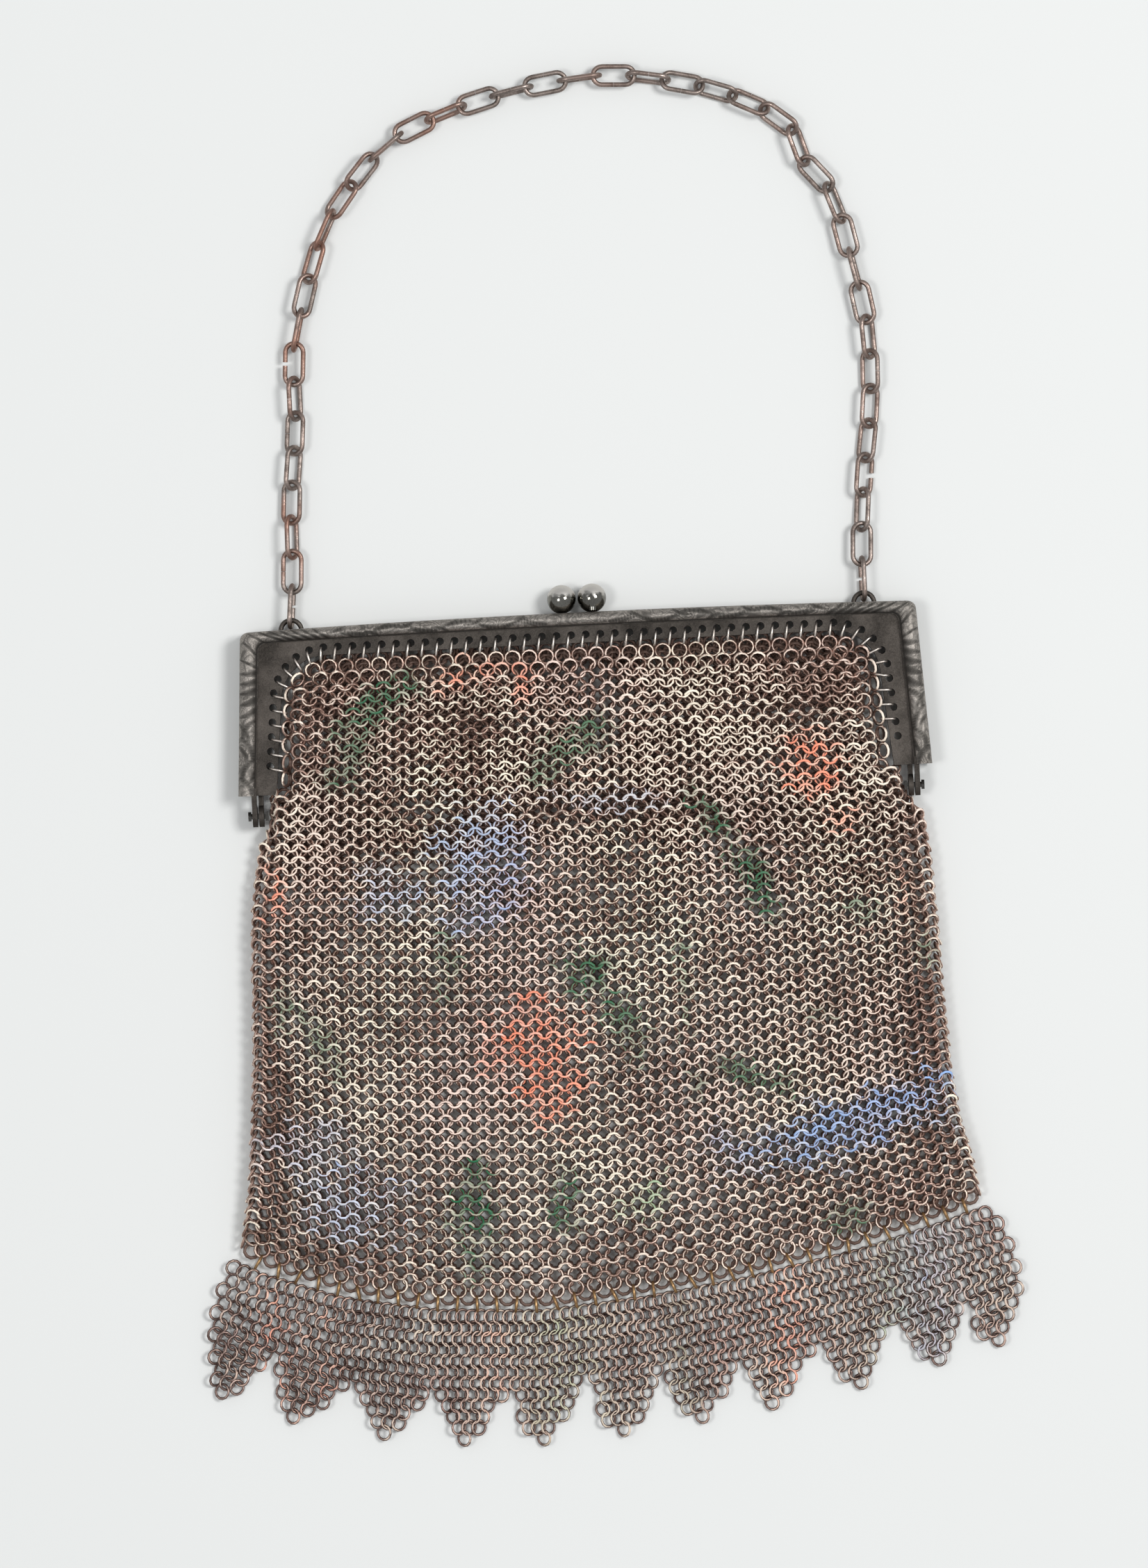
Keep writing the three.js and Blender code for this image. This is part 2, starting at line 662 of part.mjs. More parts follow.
const stations = bagStations();
const hollowStations = stations.filter(({ down }) => down > 0 && down < bagSlit);
hollowStations.unshift({ ...stations[0], down: -seatGap / bagDrop });
const atSlit = stations.find(({ down }) => down >= bagSlit);
hollowStations.push({ ...atSlit, down: bagSlit });
hollowStations.push({ ...atSlit, down: slitEnd });
hollowStations.push(...stations.filter(({ down }) => down > slitEnd && down <= bagClosing));
const openSides = (down) => (down <= bagSlit ? -meshWall : meshWall);
const bagOutside = bagTube(stations, 0, () => 0);
const bagInside = bagTube(hollowStations, meshWall, openSides);
piece('mesh_bag', bagOutside.subtract(bagInside), creamEnamel);

// Fringe: one layer of rings that hangs from the hem and ends in points.
function fringePlace(along, down) {
  const hem = stations.at(-1);
  const widen = fringeFlare * (1 - (1 - Math.min(down / fringeFlareEnd, 1)) ** 2);
  return new THREE.Vector2(
    mix(-hem.left - widen, hem.right + widen, along),
    bagTop - bagDrop + hemLift(along) - fringeGap - fringeDrop * down,
  );
}

function fringeOutline() {
  const outline = hemRows.map(({ along }) => fringePlace(along, 0));
  outline.push(...[...fringeSides, notchDown].map((down) => fringePlace(1, down)));
  const blunt = tipWidth / 2 / (2 * halfBar);
  for (const { tip, notch } of [...fringePoints].reverse()) {
    if (notch < 1) outline.push(fringePlace(notch, notchDown));
    outline.push(fringePlace(Math.min(tip + blunt, 1), 1));
    outline.push(fringePlace(Math.max(tip - blunt, 0), 1));
  }
  outline.push(...[notchDown, ...[...fringeSides].reverse()].map((down) => fringePlace(0, down)));
  return outline;
}

const fringe = new THREE.ExtrudeGeometry(new THREE.Shape(fringeOutline()), {
  depth: fringeThickness,
  bevelEnabled: false,
});
piece('mesh_fringe', solid(fringe), brownSteel);

// The origin is on the floor, under the middle of the whole purse.
purse.updateMatrixWorld(true);
const reach = new THREE.Box3().setFromObject(purse, true);
const middle = reach.getCenter(new THREE.Vector3());
purse.position.set(-middle.x, -middle.y, -reach.min.z);

export default purse;
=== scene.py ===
"""A metal mesh purse of the 1920s, lying on its back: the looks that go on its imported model."""

import math

import bmesh
import bpy
import numpy as np
from mathutils import Matrix, Vector


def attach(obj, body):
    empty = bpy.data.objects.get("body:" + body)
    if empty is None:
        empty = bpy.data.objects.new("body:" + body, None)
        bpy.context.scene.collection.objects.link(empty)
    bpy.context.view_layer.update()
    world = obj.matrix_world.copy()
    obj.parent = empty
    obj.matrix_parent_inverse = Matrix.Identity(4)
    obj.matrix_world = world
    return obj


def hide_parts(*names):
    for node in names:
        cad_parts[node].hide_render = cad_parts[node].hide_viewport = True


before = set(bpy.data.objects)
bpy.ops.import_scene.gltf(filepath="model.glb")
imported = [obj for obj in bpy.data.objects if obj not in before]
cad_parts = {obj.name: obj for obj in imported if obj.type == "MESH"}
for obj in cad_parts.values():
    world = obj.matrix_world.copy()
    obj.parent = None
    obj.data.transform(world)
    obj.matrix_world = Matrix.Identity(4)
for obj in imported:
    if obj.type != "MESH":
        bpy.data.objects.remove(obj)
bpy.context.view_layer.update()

# Camera
# The purse is seen from straight above with a long lens, its bar turned a little off level.
MM = 0.001
VIEW_HEIGHT = 320.4 * MM
LENS = 200.0
SENSOR = 36.0
VIEW_CENTRE = (-3.22 * MM, -5.23 * MM)
BAR_TURN = math.radians(-2.77)


def placed(name, data):
    made = bpy.data.objects.new(name, data)
    bpy.context.scene.collection.objects.link(made)
    return made


camera_data = bpy.data.cameras.new("camera")
camera_data.lens = LENS
camera_data.sensor_width = SENSOR
camera_data.clip_start = 0.05
camera_data.clip_end = 20.0
camera = placed("camera", camera_data)
camera.location = (*VIEW_CENTRE, VIEW_HEIGHT * LENS / SENSOR)
camera.rotation_euler = (0.0, 0.0, BAR_TURN)
bpy.context.scene.camera = camera

# Frame halves
# Two halves stamped from sheet brass and plated dark: a hollow half-round rim engraved with leaves
# and scrolls, a flat flange pierced for the hanging wire, and an ear of the hinge at each leg.
# Sizes are in millimetres from the middle of the bar's ends, and ORIGIN is that point in the model.
ORIGIN = np.array([-0.86, 28.78, 0.0])
MEETING_PLANE = 3.65
HALVES_GAP = 0.3
HALF_BAR = 69.0
LEG_LENGTH = 33.3
LEG_FLARE = 1.8
BAR_CROWN = 0.9
CORNER = 1.7
RIM_HEIGHT = 3.5
RIM_BELLY = 1.1
BAR_RIM = 2.4
LEG_RIM = 3.7
SHEET = 0.7
SQUARE_SHARE = 0.7
FLANGE_TOP = -5.3
FLANGE_END = 63.0
FLANGE_CORNER = 9.5
FLANGE_LIFT = 0.6
FLANGE_TUCK = 0.35
HOLE = 1.6
HOLE_INSET = 1.6
HOLE_PITCH = 2.95
HINGE_Y = -37.5
EAR_RADIUS = 2.2
EAR_THICKNESS = 1.0
EAR_BORE = 0.95
EAR_ROOT = 1.6
EAR_DEPTH = 1.9
EAR_SWEEP = math.radians(281)
EAR_POINTS = 22
FRONT_EAR = 67.1
BACK_EAR = 65.8
LUG_X = 58.5
LUG_Y = 0.053
LUG_Z = 1.003
LUG_RADIUS = 2.1
LUG_WIRE = 1.0
LUG_START = math.radians(-18)
LUG_SWEEP = math.radians(216)
STOOD_UP = Matrix.Rotation(math.pi / 2, 4, "X")
RIM_STEP = 0.3
CORNER_STEPS = 8
ARCH_STEPS = 16
HOLLOW_STEPS = 6
FLANGE_STRIDE = 6
FLANGE_POINTS = 141
GROOVE_DEPTH = 0.22
GROOVE_FADE = 1.6
STROKE_STEPS = 8
CREASE = 0.84
CREASE_WIDTH = 0.1
CREASE_SHARE = 0.9
PLAIN_WEAR = 0.75

# Engraved strokes on one side of the bar and its leg: where the stroke starts along the rim from
# the bar's middle, its length along the rim, where it starts and ends across the rim (-1 is the
# outer edge and 1 the inner), how far it bows, and its width.
STROKES = [
    # start, length, from, to, bow, width
    (6.5, 5.0, 0.5, -0.6, 0.5, 0.26),
    (8.0, 4.5, 0.9, 0.0, -0.5, 0.22),
    (11.0, 4.5, -0.7, 0.5, 0.6, 0.30),
    (12.5, 3.4, -0.2, 0.8, 0.4, 0.22),
    (15.5, 6.0, 0.6, -0.5, 0.8, 0.30),
    (17.5, 3.2, 0.9, 0.1, -0.3, 0.22),
    (19.5, 3.6, -0.8, 0.0, 0.5, 0.24),
    (22.0, 7.0, -0.6, 0.6, -0.7, 0.32),
    (24.5, 3.4, -0.9, -0.1, 0.5, 0.24),
    (26.5, 3.2, 0.8, 0.1, -0.5, 0.24),
    (29.0, 6.5, 0.6, -0.6, 0.8, 0.32),
    (31.5, 3.0, 0.9, 0.3, -0.4, 0.22),
    (33.5, 3.4, -0.9, -0.2, 0.5, 0.24),
    (36.5, 6.5, -0.5, 0.6, -0.8, 0.32),
    (38.5, 3.0, -0.9, -0.2, 0.3, 0.24),
    (40.5, 3.2, 0.9, 0.2, -0.4, 0.24),
    (43.0, 6.0, 0.5, -0.6, 0.7, 0.30),
    (45.5, 3.0, 0.9, 0.2, -0.3, 0.22),
    (47.5, 3.6, -0.9, 0.0, 0.4, 0.24),
    (51.0, 2.6, 0.8, -0.8, 0.5, 0.36),
    (53.0, 2.6, 0.8, -0.8, 0.5, 0.38),
    (55.0, 2.6, 0.8, -0.8, 0.5, 0.40),
    (57.0, 2.6, 0.8, -0.8, 0.5, 0.42),
    (59.0, 2.6, 0.8, -0.8, 0.5, 0.42),
    (61.0, 2.6, 0.8, -0.8, 0.5, 0.40),
    (65.6, 0.1, 1.0, -1.0, 0.0, 0.22),
    (68.0, 1.0, -0.5, 0.7, 0.4, 0.26),
    (71.6, 0.1, 1.0, -1.0, 0.0, 0.22),
    (72.6, 1.8, 0.8, -0.8, 0.6, 0.34),
    (74.4, 2.0, 0.8, -0.8, 0.6, 0.36),
    (76.2, 2.2, 0.8, -0.8, 0.6, 0.38),
    (78.2, 2.4, 0.8, -0.8, 0.6, 0.38),
    (80.4, 2.6, 0.8, -0.8, 0.6, 0.36),
    (83.0, 4.0, 0.7, -0.5, -0.8, 0.30),
    (84.5, 3.0, -0.9, 0.1, 0.5, 0.26),
    (87.0, 4.4, -0.6, 0.6, 0.9, 0.34),
    (89.0, 2.6, -0.8, -0.1, 0.4, 0.24),
    (91.0, 4.0, 0.7, -0.5, -0.8, 0.32),
    (93.5, 3.0, 0.8, 0.0, 0.4, 0.24),
    (95.0, 3.4, -0.7, 0.5, 0.7, 0.30),
    (99.2, 0.1, 1.0, -1.0, 0.0, 0.24),
]


def bar_edge(x):
    return BAR_CROWN * (1 - (x / HALF_BAR) ** 2)


def rim_stations():
    """Outer and inner points across the right half of the rim, and how far along it each lies."""
    pairs = []
    bar_end = HALF_BAR - CORNER
    inner_end = HALF_BAR - LEG_RIM
    square_to = SQUARE_SHARE * HALF_BAR
    for x in np.linspace(0, bar_end, round(bar_end / RIM_STEP) + 1):
        slant = max(0.0, (x - square_to) / (bar_end - square_to))
        inner_x = x - slant * (bar_end - (inner_end - CORNER))
        pairs.append(((x, bar_edge(x)), (inner_x, bar_edge(x) / 2 - BAR_RIM)))
    for turn in np.linspace(0, math.pi / 2, CORNER_STEPS + 1)[1:]:
        out = CORNER * np.array([math.sin(turn), math.cos(turn) - 1])
        pairs.append((
            (bar_end + out[0], out[1]),
            (inner_end - CORNER + out[0], out[1] - BAR_RIM),
        ))
    leg_start = np.array(pairs[-1])
    leg_end = np.array([
        (HALF_BAR + LEG_FLARE, -LEG_LENGTH),
        (HALF_BAR + LEG_FLARE - LEG_RIM, -LEG_LENGTH),
    ])
    for share in np.linspace(0, 1, round(LEG_LENGTH / RIM_STEP))[1:]:
        pairs.append(tuple(map(tuple, leg_start + (leg_end - leg_start) * share)))
    pairs = np.array(pairs)
    middles = pairs.mean(axis=1)
    along = np.concatenate([[0], np.cumsum(np.linalg.norm(np.diff(middles, axis=0), axis=1))])
    return pairs, along


def rim_section():
    """The hollow half-round section: share of the width from the outer edge, height, and how much
    of the engraving each point takes."""
    wall = SHEET / LEG_RIM
    points = [(wall / 2, 0.0, 0.0)]
    for turn in np.linspace(math.pi, 0, ARCH_STEPS + 1):
        rise = math.sin(turn)
        height = RIM_BELLY + (RIM_HEIGHT - RIM_BELLY) * rise
        points.append((0.5 + 0.5 * math.cos(turn), height, min(1.0, GROOVE_FADE * rise)))
    points += [(1.0, 0.0, 0.0), (1 - wall, 0.0, 0.0)]
    for turn in np.linspace(0, math.pi, HOLLOW_STEPS + 1):
        height = RIM_BELLY + (RIM_HEIGHT - SHEET - RIM_BELLY) * math.sin(turn)
        points.append((0.5 + (0.5 - wall) * math.cos(turn), height, 0.0))
    points.append((1.5 * wall, 0.0, 0.0))
    return np.array(points)


def engraving(along, across):
    """How deep the engraving is, from 0 to 1, at places along and across the rim. A crease runs
    along its inner side, and each stroke swells from a fine start."""
    crease = np.exp(-(((across - CREASE) * BAR_RIM / 2 / CREASE_WIDTH) ** 2))
    depth = np.zeros(np.broadcast(along, across).shape) + CREASE_SHARE * crease
    for start, length, near, far, bow, width in STROKES:
        for share in np.linspace(0, 1, STROKE_STEPS + 1):
            swell = math.sin(math.pi * (0.15 + 0.85 * share))
            middle_a = start + length * share
            middle_c = near + (far - near) * share + bow * math.sin(math.pi * share) * 0.5
            away = (along - middle_a) ** 2 + ((across - middle_c) * BAR_RIM / 2) ** 2
            depth = np.maximum(depth, np.exp(-away / (width * (0.5 + 0.6 * swell)) ** 2))
    return depth


def faced_out(bm):
    bmesh.ops.recalc_face_normals(bm, faces=bm.faces[:])
    return bm


def closed(bm):
    """A wrapped grid, welded along its seam, filled at both ends and faced outwards."""
    bmesh.ops.remove_doubles(bm, verts=bm.verts[:], dist=1e-4)
    bmesh.ops.holes_fill(bm, edges=[edge for edge in bm.edges if edge.is_boundary])
    return faced_out(bm)


def rim(half):
    """The rim, as a grid that is wrapped round the section and along the path."""
    pairs, along = rim_stations()
    mirrored = pairs[:0:-1] * np.array([-1, 1])
    pairs = np.concatenate([mirrored, pairs])
    along = np.concatenate([along[:0:-1], along])
    section = rim_section()
    columns, rows = len(pairs), len(section)
    depth = engraving(along[:, None], 2 * section[None, :, 0] - 1) * section[None, :, 2]
    made = bmesh.ops.create_grid(half, x_segments=columns - 1, y_segments=rows, size=1)
    worn = half.verts.layers.float["worn"]
    of_rim = half.verts.layers.float["rim"]
    for vert in made["verts"]:
        i = round((vert.co.x + 1) / 2 * (columns - 1))
        j = round((vert.co.y + 1) / 2 * rows) % rows
        (outer, inner), (share, height, _) = pairs[i], section[j]
        flat = outer + (inner - outer) * share
        vert.co = (flat[0], flat[1], height - GROOVE_DEPTH * depth[i, j])
        vert[worn] = 1 - depth[i, j]
        vert[of_rim] = 1.0
    closed(half)


def flange_line(outside, share):
    """A point that far outside the flange's inner edge, and the way out, at a share of the way
    from the left leg's end round to the right one's."""
    radius = FLANGE_CORNER + outside
    top = FLANGE_TOP + outside
    end_x = FLANGE_END + outside
    corner_x = FLANGE_END - LEG_FLARE + outside
    bend_y = top - radius
    leg = math.hypot(end_x - corner_x, bend_y + LEG_LENGTH)
    arc = radius * math.pi / 2
    straight = 2 * (corner_x - radius)
    total = 2 * leg + 2 * arc + straight
    place = share * total
    side = 1.0 if place > total / 2 else -1.0
    place = min(place, total - place)
    if place < leg:
        spot = place / leg
        lean = math.atan2(end_x - corner_x, bend_y + LEG_LENGTH)
        x = end_x + (corner_x - end_x) * spot
        y = -LEG_LENGTH + (bend_y + LEG_LENGTH) * spot
        out = (math.cos(lean), math.sin(lean))
    elif place < leg + arc:
        turn = (place - leg) / radius
        x = corner_x - radius + radius * math.cos(turn)
        y = bend_y + radius * math.sin(turn)
        out = (math.cos(turn), math.sin(turn))
    else:
        x = corner_x - radius - (place - leg - arc)
        y = top
        out = (0.0, 1.0)
    return np.array([side * x, y]), np.array([side * out[0], out[1]]), total


def hole_shares():
    steps = round(flange_line(HOLE_INSET, 0.0)[2] / HOLE_PITCH)
    first = 1 + round(1.5 * HOLE / HOLE_PITCH)
    return [i / steps for i in range(first, steps - first + 1)], 1 / steps


def loop_of(bm, points):
    verts = [bm.verts.new((*point, 0.0)) for point in points]
    return [bm.edges.new((a, b)) for a, b in zip(verts, verts[1:] + verts[:1])]


def push(bm, faces, step):
    """Extrudes faces by a step, and gives the faces that it moves."""
    made = bmesh.ops.extrude_face_region(bm, geom=faces)["geom"]
    moved = [v for v in made if isinstance(v, bmesh.types.BMVert)]
    bmesh.ops.translate(bm, verts=moved, vec=step)
    return [f for f in made if isinstance(f, bmesh.types.BMFace)]


def plate(outline, holes, thickness):
    """A flat plate with round holes, cut out and given its thickness upwards."""
    bm = bmesh.new()
    loop_of(bm, outline)
    for (x, y), radius in holes:
        place = Matrix.Translation((x, y, 0.0))
        bmesh.ops.create_circle(bm, segments=16, radius=radius, matrix=place)
    bmesh.ops.triangle_fill(bm, edges=bm.edges[:], use_beauty=True, normal=(0, 0, 1))
    push(bm, bm.faces[:], (0, 0, thickness))
    return faced_out(bm)


def join(target, bm, place=None):
    """Moves a finished shape into a larger one."""
    if place is not None:
        bm.transform(place)
    loose = bpy.data.meshes.new("loose")
    bm.to_mesh(loose)
    bm.free()
    target.from_mesh(loose)
    bpy.data.meshes.remove(loose)


def flange():
    pairs, _ = rim_stations()
    tucked = pairs[:, 1] + (pairs[:, 0] - pairs[:, 1]) * FLANGE_TUCK
    outer = [tuple(p) for p in tucked[::FLANGE_STRIDE]] + [tuple(tucked[-1])]
    outer = [(-x, y) for x, y in outer[:0:-1]] + outer
    inner = [tuple(flange_line(0.0, share)[0]) for share in np.linspace(1, 0, FLANGE_POINTS)]
    shares, _ = hole_shares()
    holes = [(tuple(flange_line(HOLE_INSET, share)[0]), HOLE / 2) for share in shares]
    return plate(outer + inner, holes, SHEET)


def ear():
    """An ear, drawn flat: x runs along the leg and y through the frame."""
    root = -LEG_LENGTH + EAR_ROOT
    axis_y = -HALVES_GAP / 2
    start = math.asin((FLANGE_LIFT - axis_y) / EAR_RADIUS)
    outline = [(root, FLANGE_LIFT + EAR_DEPTH), (root, FLANGE_LIFT)]
    for turn in np.linspace(start, start - EAR_SWEEP, EAR_POINTS):
        x = HINGE_Y + EAR_RADIUS * math.cos(turn)
        outline.append((x, axis_y + EAR_RADIUS * math.sin(turn)))
    return plate(outline, [((HINGE_Y, axis_y), EAR_BORE)], EAR_THICKNESS)


def lug():
    bm = bmesh.new()
    place = Matrix.Rotation(LUG_START, 4, "Z") @ Matrix.Translation((LUG_RADIUS, 0, 0)) @ STOOD_UP
    bmesh.ops.create_circle(bm, cap_ends=True, segments=12, radius=LUG_WIRE / 2, matrix=place)
    bmesh.ops.spin(
        bm, geom=bm.faces[:], cent=(0, 0, 0), axis=(0, 0, 1), angle=LUG_SWEEP, steps=20
    )
    return faced_out(bm)


def finish_mesh(bm, name, smooth=math.radians(40)):
    """Makes an object of a shape that is drawn in millimetres, with its place in its mesh."""
    bm.transform(Matrix.Scale(MM, 4) @ Matrix.Translation(ORIGIN))
    mesh = bpy.data.meshes.new(name)
    bm.to_mesh(mesh)
    bm.free()
    mesh.shade_smooth()
    mesh.set_sharp_from_angle(angle=smooth)
    return placed(name, mesh)


def frame_half(name, ear_x, with_lugs):
    half = bmesh.new()
    half.verts.layers.float.new("worn")
    half.verts.layers.float.new("rim")
    rim(half)
    worn = half.verts.layers.float["worn"]
    rim_count = len(half.verts)
    join(half, flange(), Matrix.Translation((0, 0, FLANGE_LIFT)))
    upright = Matrix(((0, 0, 1, 0), (1, 0, 0, 0), (0, 1, 0, 0), (0, 0, 0, 1)))
    for x in (ear_x, -ear_x - EAR_THICKNESS):
        join(half, ear(), Matrix.Translation((x, 0, 0)) @ upright)
    if with_lugs:
        for side in (-1, 1):
            join(half, lug(), Matrix.Translation((side * LUG_X, LUG_Y, LUG_Z)))
    half.verts.ensure_lookup_table()
    for vert in half.verts[rim_count:]:
        vert[worn] = PLAIN_WEAR
    half.transform(Matrix.Translation((0, 0, HALVES_GAP / 2)))
    if with_lugs:
        half.transform(Matrix.Rotation(math.pi, 4, "Y"))
    half.transform(Matrix.Translation((0, 0, MEETING_PLANE)))
    return finish_mesh(half, name)


def add_node(tree, kind, inputs, **settings):
    node = tree.nodes.new(kind)
    for key, value in settings.items():
        setattr(node, key, value)
    for key, value in inputs.items():
        if isinstance(value, bpy.types.NodeSocket):
            tree.links.new(value, node.inputs[key])
        else:
            node.inputs[key].default_value = value
    return node


def srgb(red, green, blue):
    """A colour read on the 0 to 255 scale."""
    linear = [((c / 255 + 0.055) / 1.055) ** 2.4 for c in (red, green, blue)]
    return (*linear, 1.0)


def mixed(tree, share, low, high, blend="MIX"):
    """Two colours mixed, at the places of a mix node's share and two colours."""
    inputs = {0: share, 6: low, 7: high}
    node = add_node(tree, "ShaderNodeMix", inputs, data_type="RGBA", blend_type=blend)
    return node.outputs[2]


def mapped(tree, value, low, high, to_low=0.0, to_high=1.0):
    inputs = {0: value, 1: low, 2: high, 3: to_low, 4: to_high}
    return add_node(tree, "ShaderNodeMapRange", inputs, clamp=True).outputs["Result"]


def worked_out(tree, operation, first, second, clamp=False):
    inputs = {0: first, 1: second}
    node = add_node(tree, "ShaderNodeMath", inputs, operation=operation, use_clamp=clamp)
    return node.outputs[0]


def times(tree, first, second):
    return worked_out(tree, "MULTIPLY", first, second)


def object_place(tree):
    return tree.nodes.new("ShaderNodeTexCoord").outputs["Object"]


def noise(tree, scale, detail, roughness=0.5, distortion=0.0):
    node = add_node(tree, "ShaderNodeTexNoise", {
        "Vector": object_place(tree), "Scale": scale, "Detail": detail,
        "Roughness": roughness, "Distortion": distortion})
    return node.outputs["Fac"]


def attribute(tree, name):
    return add_node(tree, "ShaderNodeAttribute", {}, attribute_name=name).outputs


def make_patina():
    """Old metal: cloudy tarnish over the metal's colour, fine pits, and an uneven shine."""
    group = bpy.data.node_groups.new("patina", "ShaderNodeTree")
    for way, kind, names in (
        ("INPUT", "NodeSocketColor", ("Metal", "Tarnish")),
        ("INPUT", "NodeSocketFloat", ("Clouds", "Pits", "Amount", "Shine")),
        ("OUTPUT", "NodeSocketColor", ("Color",)),
        ("OUTPUT", "NodeSocketFloat", ("Roughness", "Height")),
    ):
        for name in names:
            group.interface.new_socket(name, in_out=way, socket_type=kind)
    given = group.nodes.new("NodeGroupInput").outputs
    pits = noise(group, given["Pits"], 3.0, 0.7)
    cloudy = mapped(group, noise(group, given["Clouds"], 5.0, 0.6), 0.35, 0.68)
    specks = times(group, mapped(group, pits, 0.35, 0.65), 0.35)
    clouded = times(group, cloudy, given["Amount"])
    tarnished = worked_out(group, "ADD", clouded, specks, clamp=True)
    colour = mixed(group, tarnished, given["Metal"], given["Tarnish"])
    dull = times(group, tarnished, 0.35)
    rough = worked_out(group, "ADD", dull, given["Shine"], clamp=True)
    add_node(group, "NodeGroupOutput", {"Color": colour, "Roughness": rough, "Height": pits})
    return group


patina = make_patina()


def new_material(name):
    material = bpy.data.materials.new(name)
    material.use_nodes = True
    tree = material.node_tree
    return material, tree, tree.nodes["Principled BSDF"]


def old_metal(name, metal, tarnish, clouds, pits, amount, shine, strength):
    """A material of bare old metal, with its tree, its shader and what its patina gives. strength
    is how far its pits dent it."""
    material, tree, shader = new_material(name)
    worn = add_node(tree, "ShaderNodeGroup", {
        "Metal": metal, "Tarnish": tarnish, "Clouds": clouds, "Pits": pits, "Amount": amount,
        "Shine": shine}, node_tree=patina).outputs
    tree.links.new(worn["Color"], shader.inputs["Base Color"])
    tree.links.new(worn["Roughness"], shader.inputs["Roughness"])
    shader.inputs["Metallic"].default_value = 1.0
    bump = add_node(tree, "ShaderNodeBump", {
        "Height": worn["Height"], "Strength": strength, "Distance": 0.1 * MM})
    tree.links.new(bump.outputs["Normal"], shader.inputs["Normal"])
    return material, tree, shader, worn


# The metal is dark in the grooves, and the top of the rim is rubbed bright along fine scrolls: this
# lighter colour on the raised edges is partly real wear and partly a painted highlight.
gunmetal, gun_tree, gun_shader, gun_worn = old_metal(
    "gunmetal", srgb(132, 127, 121), srgb(89, 86, 82), 120.0, 4200.0, 0.7, 0.42, 0.5
)
relief = attribute(gun_tree, "worn")["Fac"]
raised = mapped(gun_tree, relief, 0.1, 0.7)
on_rim = attribute(gun_tree, "rim")["Fac"]
tone = mixed(gun_tree, on_rim, srgb(174, 170, 168), srgb(255, 255, 255))
body = mixed(gun_tree, 1.0, gun_worn["Color"], tone, "MULTIPLY")
in_groove = mixed(gun_tree, raised, srgb(78, 75, 71), body)
on_edge = times(gun_tree, on_rim, mapped(gun_tree, relief, 0.76, 0.86))
scrolls = noise(gun_tree, 330.0, 0.0, distortion=0.6)
lines = mapped(gun_tree, worked_out(gun_tree, "PINGPONG", scrolls, 0.085), 0.0, 0.05)
grain = mapped(gun_tree, gun_worn["Height"], 0.4, 0.66, 0.1, 1.0)
# Painted highlight, partly real rubbed wear: the raised edges of the rim lighten along the scrolls.
rubbed_and_highlit = times(gun_tree, times(gun_tree, on_edge, lines), grain)
on_top = mixed(gun_tree, rubbed_and_highlit, in_groove, srgb(186, 179, 171))
gun_tree.links.new(on_top, gun_shader.inputs["Base Color"])

for name, node, ear_x, with_lugs in (
    ("stamped_frame_front", "frame_front", FRONT_EAR, False),
    ("stamped_frame_back", "frame_back", BACK_EAR, True),
):
    half = frame_half(name, ear_x, with_lugs)
    half.data.materials.append(gunmetal)
    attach(half, "root")
    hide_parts(node)

# Hinge rivets
# Steel rivets with a head at each end, closed over the two ears of a leg. They come with the
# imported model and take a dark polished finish.
dark_steel, _, _, _ = old_metal(
    "dark_steel", srgb(116, 114, 110), srgb(70, 68, 65), 300.0, 3000.0, 0.5, 0.1, 0.1
)
for name in ("hinge_rivet_left", "hinge_rivet_right"):
    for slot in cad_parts[name].material_slots:
        slot.material = dark_steel

# Clasp balls
# Turned balls of polished dark metal, each on a bent post that stands on its own half of the
# frame, so that they snap past each other.
BALL = 5.9
BALL_GAP = 0.3
BALL_Y = 3.7075
POST = 1.4
POST_FOOT = 1.2
POST_STAND = 2.3
POST_ENTRY = 1.77
CAP_RISE = 0.5
CAP_EDGE = 0.7

# The side away from the bar is worn to a frosted grey, with a ragged edge; this lighter cap is also
# a painted reflection of the bright surroundings.
ball_steel, ball_tree, ball_shader, ball_worn = old_metal(
    "ball_steel", srgb(138, 136, 129), srgb(92, 90, 85), 300.0, 3000.0, 0.5, 0.08, 0.1
)
up_ball = add_node(ball_tree, "ShaderNodeSeparateXYZ", {0: object_place(ball_tree)}).outputs["Y"]
ragged = mapped(ball_tree, noise(ball_tree, 900.0, 3.0), 0.3, 0.7, -0.5 * MM, 0.5 * MM)
cap_from = (ORIGIN[1] + BALL_Y + CAP_RISE) * MM
frost_and_reflection = mapped(
    ball_tree, worked_out(ball_tree, "ADD", up_ball, ragged), cap_from,
    cap_from + CAP_EDGE * MM,
)
# Painted reflection, partly real frost: the cap away from the bar is a lighter grey.
colour = mixed(ball_tree, frost_and_reflection, ball_worn["Color"], srgb(204, 200, 194))
ball_tree.links.new(colour, ball_shader.inputs["Base Color"])
rough = mapped(ball_tree, frost_and_reflection, 0.0, 1.0, 0.1, 0.5)
ball_tree.links.new(rough, ball_shader.inputs["Roughness"])


